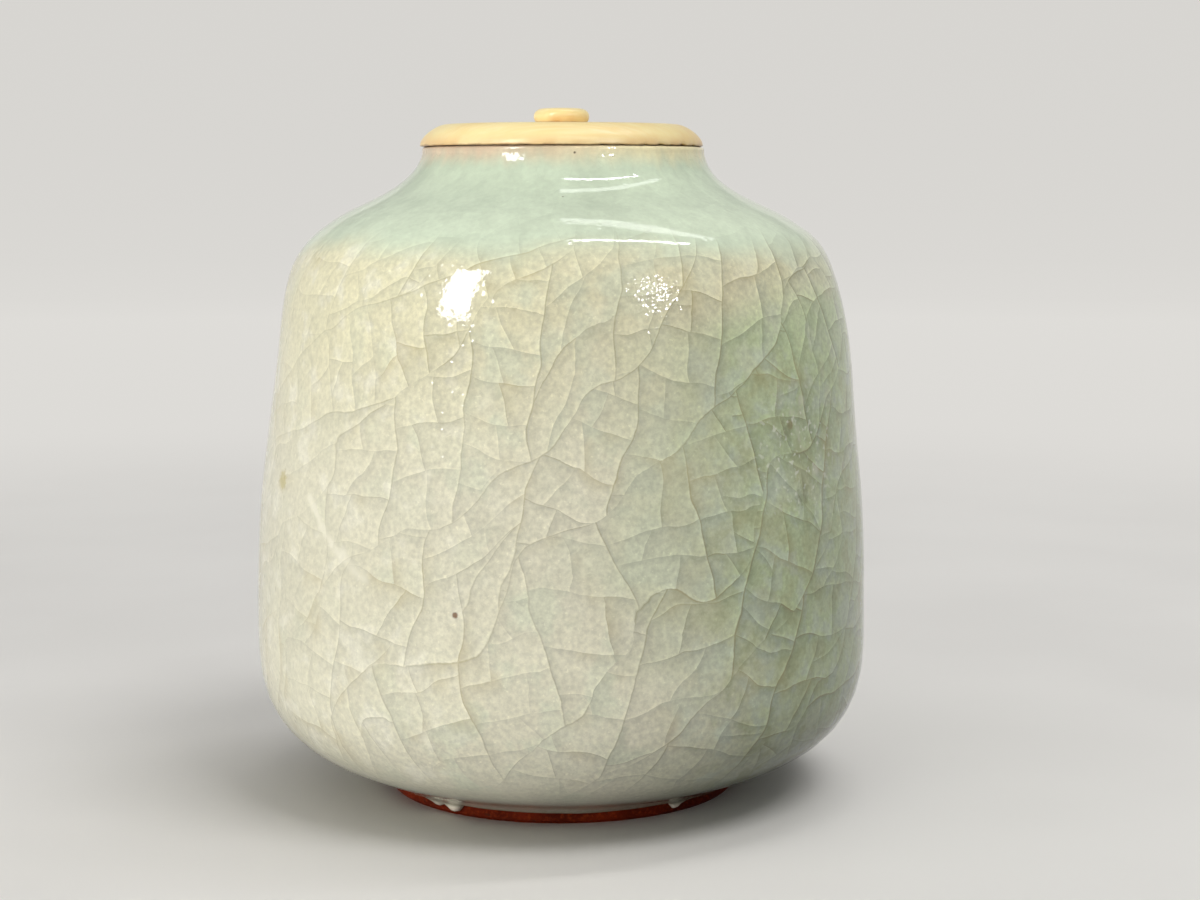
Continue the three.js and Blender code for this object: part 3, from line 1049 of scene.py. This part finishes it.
faint = glaze.times(tint, SHORT_FAINT)
past_short = glaze.add(glaze.smallest(past_strip, past_cross, past_half), faint)
before_short = glaze.add(glaze.smallest(before_strip, before_cross, before_half), faint)
faint = glaze.span(glaze.noise(9.0, own=3.0), 0.45, 0.62, 0.0, LONG_FAINT)
past = glaze.smallest(glaze.add(past_long, faint), past_block, past_short)
before = glaze.smallest(glaze.add(before_long, faint), before_block, before_short)
print("the crackle takes", len(glaze.tree.nodes), "nodes")

# %% [markdown]
# ## The colour of the glaze
# The wall is a grey beige, warmer in a band below the shoulder. Clouds of bluish green and of cream
# lie in it, and towards the right it turns to sage green with olive and grey mottling. Each colour
# is mixed over the last one, by a share that follows the place on the pot, a noise or the dice of
# the pieces.

# %% Colour the wall
WALL_BEIGE = paint(219, 215, 191)
BAND_BEIGE = paint(222, 217, 184)
CELL_GREEN = paint(207, 212, 187)
SAGE = paint(193, 207, 163)
PALE_CLOUD = paint(235, 232, 213)
OLIVE_MOTTLE = paint(172, 178, 126)
GREY_MOTTLE = paint(202, 213, 196)
BAND_HEIGHT = (36.0, 58.0)
SAGE_SIDE = (9.0, 31.0)
SAGE_WANDER = 14.0
MOTTLED_SIDE = (8.0, 20.0)
MOTTLED_TOP = (48.0, 56.0)

blotch = glaze.noise(11.0, detail=2.0)
late_above = glaze.span(glaze.z, 52.5, 60.0, 0.0, -16.0)
late_below = glaze.span(glaze.z, 14.0, 30.0, -5.0, 0.0)
to_right = glaze.add(glaze.x, glaze.times(blotch, SAGE_WANDER), late_above, late_below)
colour = glaze.mix(glaze.span(glaze.z, *BAND_HEIGHT), WALL_BEIGE, BAND_BEIGE)
colour = glaze.mix(glaze.span(to_right, *SAGE_SIDE), colour, SAGE)

cloud = glaze.times(
    glaze.span(glaze.noise(4.5, detail=3.0), 0.42, 0.62),
    glaze.span(tint, 0.3, 0.9, 0.15, 0.6),
    glaze.span(glaze.x, -26, -4, 0.35, 1.0),
)
colour = glaze.mix(cloud, colour, CELL_GREEN)
mottle = glaze.noise(3.0, detail=3.0)
on_left = glaze.span(glaze.x, -18.0, -4.0, 1.0, 0.2)
on_right = glaze.span(glaze.x, *MOTTLED_SIDE)
on_right = glaze.times(on_right, glaze.span(glaze.z, *MOTTLED_TOP, 1.0, 0.0))
for low, high, start, end, side, tint_colour in (
    (0.52, 0.68, 0.0, 0.55, on_left, PALE_CLOUD),
    (0.5, 0.66, 0.0, 0.5, on_right, OLIVE_MOTTLE),
    (0.36, 0.5, 0.5, 0.0, on_right, GREY_MOTTLE),
):
    share = glaze.times(glaze.span(mottle, low, high, start, end), side)
    colour = glaze.mix(share, colour, tint_colour)
print("the wall's beige turns to sage", SAGE_SIDE[0], "to", SAGE_SIDE[1], "mm right of the middle")

# %% [markdown]
# ## Shoulder and rim
# On the shoulder and the neck the glaze is thickest, a smooth mint green without cracks. At the rim
# it is thin, and the clay warms it to a pinkish beige that comes down in short streaks. A noise
# that is drawn out along Z makes such streaks. Towards the right the rim turns olive beige, painted
# lighter than its own tone as painted light where the lid shades it.

# %% Colour the shoulder and the rim
MINT = paint(203, 215, 190)
NECK_MINT = paint(195, 208, 183)
RIM_PINK = paint(214, 190, 162)
LIT_RIM_OLIVE = paint(236, 224, 182)
MINT_HEIGHT = (60.2, 64.0)
NECK_HEIGHT = (64.0, 68.5)
RIM_HEIGHT = (70.6, 73.3)
OLIVE_SIDE = (-10.0, 12.0)

vein = glaze.noise(13.0)
wavy_top = glaze.add(glaze.z, glaze.centred(vein, 5.0))
mint = glaze.mix(glaze.span(glaze.z, *NECK_HEIGHT), MINT, NECK_MINT)
colour = glaze.mix(glaze.span(wavy_top, *MINT_HEIGHT), colour, mint)
streaks = glaze.noise(1.6, stretch=(1.0, 1.0, 0.18))
thin_rim = glaze.span(glaze.add(glaze.z, glaze.centred(streaks, 1.4)), *RIM_HEIGHT)
# Painted light: the olive beige at the right of the rim is lighter than its own tone, where the lid
# shades it.
rim_colour = glaze.mix(glaze.span(glaze.x, *OLIVE_SIDE), RIM_PINK, LIT_RIM_OLIVE)
colour = glaze.mix(thin_rim, colour, rim_colour)
print("the mint begins", MINT_HEIGHT[0], "mm above the table and the rim", RIM_HEIGHT[0], "mm")

# %% [markdown]
# ## Light and shade of the cracks
# Past a crack the glaze is darker for about a millimetre, and just before the next one it is
# lighter. Both fade like a breath on glass, so an exponential gives them. The cracks are weak at
# the left, where the light is flat, and end below the mint and above the foot.

# %% Shade the cracks
SHADE_REACH = 1.0
SHADE_DEPTH = 0.24
LIGHT_REACH = 0.28
LIGHT_GAIN = 0.17
LINE_WIDTH = (0.02, 0.2)
CRACKED_TOP = (61.0, 65.0)
CRACKED_FOOT = (4.5, 12.0)

wavy_foot = glaze.add(glaze.z, glaze.centred(vein, 6.0))
cracked = glaze.times(
    glaze.span(wavy_top, *CRACKED_TOP, 1.0, 0.0),
    glaze.span(wavy_foot, *CRACKED_FOOT),
)
strength = glaze.times(
    cracked,
    glaze.span(vein, 0.3, 0.65, 0.7, 1.1),
    glaze.span(glaze.x, -34, -8, 0.4, 1.0),
    glaze.span(glaze.x, 6, 22, 1.0, 1.6),
)
shade = glaze.maths("EXPONENT", glaze.times(past, -1 / SHADE_REACH))
light = glaze.maths("EXPONENT", glaze.times(before, -1 / LIGHT_REACH))
line = glaze.span(glaze.smallest(past, glaze.times(before, 2.0)), *LINE_WIDTH, 1.0, 0.0)
level = glaze.add(
    1.0,
    glaze.times(shade, strength, -SHADE_DEPTH),
    glaze.times(light, strength, LIGHT_GAIN),
)
print("a crack takes", round(100 * SHADE_DEPTH), "percent of the light")

# %% [markdown]
# ## Grain and tone
# Under a lens celadon is full of bubbles, which give it a fine grain with pale specks. Pieces and
# blotches differ a little in tone, and the mint hangs in faint curtains. Painted light makes the
# lower wall and heel lighter at the left and middle and a little darker at the far right, and the
# upper right lighter. All these are levels around 1, so they are multiplied. Tea stains some of the
# cracks.

# %% Add grain and tone
CRACK_OLIVE = paint(150, 142, 104)
TEA_STAIN = paint(204, 186, 128)
LINE_SHARE = 0.32
TEA_SHARE = 0.3
SMOOTH_TOP = (60.0, 64.0)
SMOOTH_FOOT = (4.0, 11.0)
SMOOTH_GRAIN = 0.35
GRAIN_LEVEL = 0.11
SPECK_LEVEL = 0.14
CURTAIN_LEVEL = 0.05

grain = glaze.noise(0.6, detail=3.0, rough=0.6)
grainy = glaze.times(
    glaze.span(wavy_top, *SMOOTH_TOP, 1.0, SMOOTH_GRAIN),
    glaze.span(wavy_foot, *SMOOTH_FOOT, SMOOTH_GRAIN, 1.0),
)
speckle = glaze.add(
    glaze.span(grain, 0.34, 0.7, -GRAIN_LEVEL, GRAIN_LEVEL, smooth=False),
    glaze.span(glaze.noise(0.4), 0.64, 0.8, 0.0, SPECK_LEVEL),
)
speckle = glaze.times(speckle, grainy, glaze.span(glaze.x, -34, -10, 0.7, 1.15))
curtain = glaze.noise(2.4, detail=2.0, stretch=(1.0, 1.0, 0.4))
curtain = glaze.span(curtain, 0.3, 0.7, -CURTAIN_LEVEL, CURTAIN_LEVEL)
curtain = glaze.times(curtain, glaze.span(wavy_top, *SMOOTH_TOP))
# Painted light and shade: towards the foot the glaze is lighter at the left and middle and a little
# darker at the far right.
painted_heel_light = glaze.times(
    glaze.span(wavy_foot, 4.0, 34.0, 1.0, 0.0),
    glaze.span(glaze.x, 2.0, 26.0, 0.2, -0.05),
)
level = glaze.times(
    level,
    glaze.roll(tone, 0.97, 1.03),
    glaze.add(1.0, speckle),
    glaze.span(blotch, 0.25, 0.75, 0.96, 1.03, smooth=False),
    glaze.add(1.0, curtain),
    glaze.add(1.0, painted_heel_light),
    # Painted light: the upper right of the wall and shoulder is lighter.
    glaze.span(glaze.add(glaze.x, glaze.z), 68.0, 82.0, 1.0, 1.17),
)
grey = glaze.node("ShaderNodeCombineColor")
glaze.feed_all(grey.inputs, (level, level, level))
colour = glaze.mix(1.0, colour, grey.outputs[0], blend="MULTIPLY")
colour = glaze.mix(glaze.times(line, strength, LINE_SHARE), colour, CRACK_OLIVE)
tea_stained = glaze.times(glaze.span(glaze.noise(7.0, detail=2.0), 0.52, 0.68), cracked)
colour = glaze.mix(glaze.times(shade, tea_stained, TEA_SHARE), colour, TEA_STAIN)
print("the grain changes the light by", round(100 * GRAIN_LEVEL), "percent")

# %% [markdown]
# ## Stains and scuffs
# At the foot the glaze thins, and an olive band along its edge is painted shade under the heel;
# its runs are cream. Then come the marks of use: a patch of worn pale specks on the right, pinholes
# and stains, which are spots round a point, and scuffs, which are bands beside a line. The grain
# frays them all.

# %% Stain and scuff the glaze
EDGE_SHADE_OLIVE = paint(116, 110, 88)
RUN_CREAM = paint(222, 212, 192)
EDGE_SHADE_HEIGHT = (1.7, 3.0)
RUN_HEIGHT = (1.05, 1.6)
WORN_SPECK = paint(234, 237, 220)
WORN_MIDDLE = (24.6, -22.6, 41.0)
WORN_REACH = (3.0, 10.0)
STAIN_CORE = 0.35
STAINS = [
    ((-10.9, -33.1, 25.7), 0.42, (112, 70, 34), 0.85),
    ((-30.3, -15.6, 37.2), 1.5, (186, 170, 96), 0.55),
    ((1.4, -16.1, 72.5), 0.22, (60, 44, 36), 0.95),
    ((5.5, -15.3, 72.2), 0.2, (90, 66, 50), 0.8),
    ((0.1, -20.6, 67.9), 0.2, (110, 110, 90), 0.7),
    ((24.0, -23.3, 44.0), 0.7, (150, 118, 62), 0.45),
    ((25.0, -22.4, 36.4), 1.7, (118, 124, 92), 0.45),
    ((23.6, -23.7, 43.4), 1.3, (122, 126, 92), 0.4),
    ((27.0, -20.6, 38.9), 0.9, (232, 232, 214), 0.45),
    ((25.2, -21.5, 46.5), 0.8, (230, 230, 210), 0.4),
]
SCUFFS = [
    ((-26.8, -21.5, 36.0), (-24.1, -24.8, 31.4), 0.8, (240, 236, 216), 0.6),
    ((-24.1, -24.8, 31.4), (-20.5, -27.9, 28.6), 0.9, (240, 236, 216), 0.5),
    ((24.2, -23.4, 45.8), (25.6, -22.4, 41.6), 0.6, (228, 228, 206), 0.45),
]


def beside_line(first, last):
    """How far a point is from a straight line between two places."""
    way = np.subtract(last, first)
    from_first = glaze.vectors("SUBTRACT", glaze.place, first)
    share = glaze.vectors("DOT_PRODUCT", from_first, tuple(way))
    share = glaze.span(glaze.times(share, 1 / float(way @ way)), 0, 1, smooth=False)
    return glaze.vectors("DISTANCE", from_first, glaze.vectors("SCALE", tuple(way), scale=share))


# Painted shade: an olive band along the glaze's lower edge, under the heel.
shaded_edge = glaze.add(glaze.z, glaze.times(grain, 0.5))
colour = glaze.mix(glaze.span(shaded_edge, *EDGE_SHADE_HEIGHT, 0.75, 0.0), colour, EDGE_SHADE_OLIVE)
colour = glaze.mix(glaze.span(glaze.z, *RUN_HEIGHT, 1.0, 0.0), colour, RUN_CREAM)
worn = glaze.span(glaze.distance(WORN_MIDDLE), *WORN_REACH, 0.7, 0.0)
worn = glaze.times(worn, glaze.span(glaze.noise(0.7), 0.6, 0.72))
colour = glaze.mix(worn, colour, WORN_SPECK)
for middle, size, stain, density in STAINS:
    near = glaze.add(glaze.distance(middle), glaze.centred(grain, size))
    colour = glaze.mix(glaze.span(near, size * STAIN_CORE, size, density, 0.0), colour, paint(*stain))
for first, last, size, scuff, density in SCUFFS:
    frayed = glaze.add(glaze.centred(grain, size * 2), glaze.centred(glaze.noise(1.6), 1.2))
    near = glaze.add(beside_line(first, last), frayed)
    colour = glaze.mix(glaze.span(near, 0.0, size, density, 0.0), colour, paint(*scuff))
print(len(STAINS), "stains and", len(SCUFFS), "scuffs")

# %% [markdown]
# ## The glaze's surface
# Fired glaze shines like glass, but its skin is full of tiny pits where bubbles burst, and they
# break up the edges of reflections. Voronoi cells give one pit each, some deep and most of them
# shallow. One spot at the upper right is rougher and makes the reflection there sparkle.

# %% Pit the surface and finish the glaze
PIT_WIDTH = (0.05, 0.4)
PIT_RELIEF = 0.02
SPARKLE_MIDDLE = (9.4, -30.7, 58.5)
SPARKLE_REACH = (2.0, 5.5)
SPARKLE = 7.0
PITTED_RIM = (70.0, 71.5)

pits = glaze.node("ShaderNodeTexVoronoi", feature="F1")
glaze.feed(pits.inputs["Vector"], glaze.place)
glaze.feed(pits.inputs["Scale"], 1.0)
pit_dice = glaze.node("ShaderNodeSeparateColor")
glaze.feed(pit_dice.inputs[0], pits.outputs["Color"])
pit = glaze.times(
    glaze.span(pits.outputs["Distance"], *PIT_WIDTH),
    glaze.span(pit_dice.outputs[0], 0.35, 0.8, 0.0, 1.5),
)
ripple = glaze.noise(0.5)
sparkle = glaze.span(glaze.distance(SPARKLE_MIDDLE), *SPARKLE_REACH, SPARKLE, 1.0)
relief = glaze.add(pit, glaze.times(ripple, 0.15), glaze.times(ripple, sparkle, 0.5))
relief = glaze.times(relief, glaze.largest(grainy, glaze.span(glaze.z, *PITTED_RIM)))
glaze.surface({
    "Base Color": colour,
    "Roughness": 0.06,
    "Specular IOR Level": 0.5,
    "IOR": 1.5,
    "Normal": glaze.bump(relief, PIT_RELIEF),
})
glaze.put_on(coat)

# %% [markdown]
# ## The lid's material
# Lid and knob are ivory coloured, turned and polished. Slow layers run through the material, the
# grain shows as fine streaks along one direction, and the lower lip and the knob's side are stained
# amber by handling. At the foot of each, in the joint with the rim or the lid, a dark brown line is
# dirt and painted shade. Both pieces have the same finish with their stains at other heights, so a
# function makes it twice.

# %% Finish the lid
IVORY = paint(248, 227, 163)
IVORY_DEEP = paint(243, 213, 142)
IVORY_PALE = paint(251, 236, 186)
AMBER = paint(214, 148, 70)
BLUSH = paint(242, 212, 160)
GRIME_AND_SHADE = paint(104, 60, 32)
BLUSH_SHARE = 0.7
AMBER_SIDE = (2.0, 15.0)
AMBER_SHARE = 0.08
GRIME_AND_SHADE_HEIGHT = (-0.25, 0.1)
FIBRE_RELIEF = 0.006


def ivory(name, stain_height, stain_reach, stain):
    lid = Finish(name)
    layers = lid.noise(4.5, detail=2.0, stretch=(0.22, 1.0, 1.0))
    fibres = lid.noise(0.5, detail=2.0, stretch=(0.05, 1.0, 1.0))
    fleck = lid.noise(1.4, detail=2.0)
    colour = lid.mix(lid.span(layers, 0.35, 0.68), IVORY, IVORY_DEEP)
    colour = lid.mix(lid.span(fibres, 0.4, 0.75, 0.0, 0.45), colour, IVORY_PALE)
    low = lid.span(lid.z, stain_height, stain_height + stain_reach, 1.0, 0.0)
    colour = lid.mix(lid.times(low, BLUSH_SHARE), colour, BLUSH)
    amber_side = lid.times(lid.span(lid.x, *AMBER_SIDE), lid.span(layers, 0.45, 0.6), AMBER_SHARE)
    colour = lid.mix(amber_side, colour, AMBER)
    colour = lid.mix(lid.times(low, lid.span(lid.noise(2.6), 0.35, 0.65), stain), colour, AMBER)
    # Dirt and painted shade: a dark brown line at the foot of each piece, in the joint between lid
    # and rim or knob and lid.
    lip = lid.add(lid.z, lid.times(fleck, -0.3))
    joint_low, joint_high = (stain_height + height for height in GRIME_AND_SHADE_HEIGHT)
    colour = lid.mix(lid.span(lip, joint_low, joint_high, 0.85, 0.0), colour, GRIME_AND_SHADE)
    lid.surface({
        "Base Color": colour,
        "Roughness": 0.3,
        "Specular IOR Level": 0.5,
        "Normal": lid.bump(lid.add(fibres, fleck), FIBRE_RELIEF),
    })
    return lid


ivory("ivory_lid", lid_seat, 1.5, 0.3).put_on(plate)
ivory("ivory_knob", plate_high.z, 1.3, 0.6).put_on(knob)

# %% [markdown]
# ## Gilded paper
# Gold leaf is laid in small squares that overlap, so the lining shows a faint grid of double edges,
# and worn spots let the red ground through. A Ping-Pong node folds each coordinate into squares and
# gives the distance from their edges.

# %% Finish the lining
GOLD = paint(224, 176, 84)
GOLD_DOUBLE = paint(206, 150, 60)
RED_GROUND = paint(150, 84, 44)
LEAF_SIDE = 9.0
LEAF_START = (2.5, -1.5)
LEAF_WOBBLE = 0.5
PAPER_RELIEF = 0.02

leaf = Finish("gilded_paper")
wobble = leaf.times(leaf.noise(3.0), LEAF_WOBBLE)
edges = []
for coordinate, start in zip((leaf.x, leaf.y), LEAF_START):
    square = leaf.maths("DIVIDE", leaf.add(coordinate, start, wobble), LEAF_SIDE)
    edges.append(leaf.span(leaf.maths("PINGPONG", square, 0.5), 0.03, 0.05, 1.0, 0.0))
colour = leaf.mix(leaf.largest(*edges), GOLD, GOLD_DOUBLE)
worn = leaf.span(leaf.noise(2.2, detail=3.0), 0.62, 0.72, 0.0, 0.7)
colour = leaf.mix(worn, colour, RED_GROUND)
leaf.surface({
    "Base Color": colour,
    "Metallic": 1.0,
    "Roughness": 0.38,
    "Normal": leaf.bump(leaf.noise(0.8, detail=2.0), PAPER_RELIEF),
})
leaf.put_on(paper)

# %% [markdown]
# ## The floor
# The jar stands on a plain pale floor that curves up into a backdrop on all sides, so that no edge
# shows from any view. It is a disc whose rim is extruded in small steps along a quarter of a
# circle.

# %% Build the floor
FLOOR_RADIUS = 0.9
FLOOR_AROUND = 96
COVE_RISE = 0.45
COVE_STEPS = 10

bpy.ops.object.select_all(action="DESELECT")
bpy.ops.mesh.primitive_circle_add(
    vertices=FLOOR_AROUND, radius=FLOOR_RADIUS, fill_type="NGON", location=(0, 0, 0))
floor = bpy.context.object
floor.name = floor.data.name = "floor"
bpy.ops.object.mode_set(mode="EDIT")
bpy.ops.mesh.select_all(action="SELECT")
bpy.ops.mesh.region_to_loop()
reach = FLOOR_RADIUS
lift = 0.0
for step in range(1, COVE_STEPS + 1):
    slope = math.radians(90 * step / COVE_STEPS)
    wider = FLOOR_RADIUS + COVE_RISE * math.sin(slope)
    higher = COVE_RISE * (1 - math.cos(slope))
    bpy.ops.mesh.extrude_edges_move(TRANSFORM_OT_translate={"value": (0, 0, higher - lift)})
    bpy.ops.transform.resize(value=(wider / reach, wider / reach, 1), center_override=(0, 0, 0))
    reach, lift = wider, higher
bpy.ops.object.mode_set(mode="OBJECT")
bpy.ops.object.shade_smooth()
print("the backdrop stands", round(reach, 2), "m away and", round(lift, 2), "m high")

# %% [markdown]
# ## The floor's finish
# The camera and the reflections see a pale floor and, far off, an even backdrop that glows at its
# own colour. As a lamp the floor works only at the left front: there it throws light up under the
# jar, and elsewhere it is dark, so that the heel keeps its shade.

# %% Finish the floor
FLOOR_SEEN = (paint(226, 224, 220), paint(231, 229, 225))
FLOOR_BOUNCE = (paint(24, 23, 22), paint(232, 230, 226))
BACKDROP = paint(214, 212, 208)
BACKDROP_START = (110.0, 400.0)
NO_COLOUR = (0.0, 0.0, 0.0, 1.0)
LEFT_FRONT = (-0.8, -0.6, 0.0)
BOUNCE_START = (35.0, 120.0)

ground = Finish("pale_floor")
rays = ground.node("ShaderNodeLightPath").outputs
seen = ground.largest(rays["Is Camera Ray"], rays["Is Glossy Ray"], rays["Is Transmission Ray"])
left_front = ground.vectors("DOT_PRODUCT", ground.place, LEFT_FRONT)
bounce_colour = ground.mix(ground.span(left_front, *BOUNCE_START), *FLOOR_BOUNCE)
ground_tone = ground.span(ground.noise(60.0, detail=2.0), 0.3, 0.7)
colour = ground.mix(seen, bounce_colour, ground.mix(ground_tone, *FLOOR_SEEN))
far_off = ground.span(ground.vectors("LENGTH", ground.place), *BACKDROP_START)
glow = ground.times(far_off, seen)
ground.surface({
    "Base Color": ground.mix(glow, colour, NO_COLOUR),
    "Roughness": 0.6,
    "Specular IOR Level": 0.2,
    "Emission Color": BACKDROP,
    "Emission Strength": glow,
})
ground.put_on(floor)

# %% [markdown]
# ## The lamps
# The light is that of a room, taken apart so that each share of it can be set alone. A window at
# the upper left and a small light at the right are seen only in reflections: they make the bright
# patch and the sparkle on the wall. Broad low lights at the left and the front, and one from the
# upper right, light the surfaces and aren't seen in reflections. A strip and a panel on the ceiling
# do both, and draw the streaks on shoulder and neck. Each row gives a lamp's azimuth and elevation
# in degrees, its distance, width and height in metres, its power, and what it lights.

# %% Place the lamps
LAMPS = [
    ("window_light", -134, 31, 0.85, 0.17, 0.44, 4.0, "reflections"),
    ("left_light", -145, 2, 1.0, 1.4, 0.13, 7.6, "surfaces"),
    ("front_light", -106, 2, 1.0, 1.2, 0.13, 1.9, "surfaces"),
    ("right_light", -42, 58, 1.0, 0.5, 0.4, 3.7, "surfaces"),
    ("side_light", -49, 29.5, 0.8, 0.05, 0.06, 1.1, "reflections"),
    ("ceiling_strip", 26, 73.3, 0.95, 0.49, 0.048, 1.5, "both"),
    ("ceiling_panel", 58, 61, 1.05, 0.55, 0.1, 0.5, "both"),
]
CEILING_TURNS = {"ceiling_strip": 12, "ceiling_panel": 0}


def softbox(name, azimuth, elevation, distance, width, height, power):
    """A rectangular lamp that looks at the middle of the jar from a direction given in degrees."""
    rise = math.radians(elevation)
    away = np.array([*(heading(azimuth) * math.cos(rise)), math.sin(rise)])
    middle = np.array([0, 0, cad_high.z / 2])
    bpy.ops.object.light_add(type="AREA", location=middle + distance * away)
    lamp = bpy.context.object
    lamp.name = name
    lamp.data.shape = "RECTANGLE"
    lamp.data.size = width
    lamp.data.size_y = height
    lamp.data.energy = power
    lamp.rotation_euler = (Vector(middle) - lamp.location).to_track_quat("-Z", "Y").to_euler()
    return lamp


for *settings, lights in LAMPS:
    lamp = softbox(*settings)
    lamp.visible_diffuse = lights != "reflections"
    lamp.visible_glossy = lights != "surfaces"
    if lamp.name in CEILING_TURNS:
        lamp.rotation_euler = (0, 0, math.radians(CEILING_TURNS[lamp.name]))
    print(lamp.name, "lights", lights)

# %% [markdown]
# ## The sky
# An even fill comes from everywhere, a little stronger from overhead. Where the camera looks past
# the backdrop, it sees the backdrop's own colour.

# %% Fill from everywhere
SKY_HORIZON = 0.3
SKY_OVERHEAD = 0.46
WHITE = (1.0, 1.0, 1.0, 1.0)

world = bpy.data.worlds.new("plain_fill")
world.use_nodes = True
sky = NodeGraph(world.node_tree)
up = sky.node("ShaderNodeSeparateXYZ")
sky.feed(up.inputs[0], sky.node("ShaderNodeTexCoord").outputs["Generated"])
fill = world.node_tree.nodes["Background"]
sky.feed(fill.inputs["Color"], WHITE)
sky.feed(fill.inputs["Strength"], sky.roll(up.outputs["Z"], SKY_HORIZON, SKY_OVERHEAD))
sky_seen = sky.node("ShaderNodeBackground")
sky.feed(sky_seen.inputs["Color"], BACKDROP)
choice = sky.node("ShaderNodeMixShader")
by_camera = sky.node("ShaderNodeLightPath").outputs["Is Camera Ray"]
sky.feed_all(choice.inputs, (by_camera, fill.outputs[0], sky_seen.outputs[0]))
sky.feed(world.node_tree.nodes["World Output"].inputs["Surface"], choice.outputs[0])
bpy.context.scene.world = world
bpy.context.scene.view_settings.view_transform = "Standard"
print("the sky's strength is", SKY_HORIZON, "at the horizon and", SKY_OVERHEAD, "overhead")

# %% [markdown]
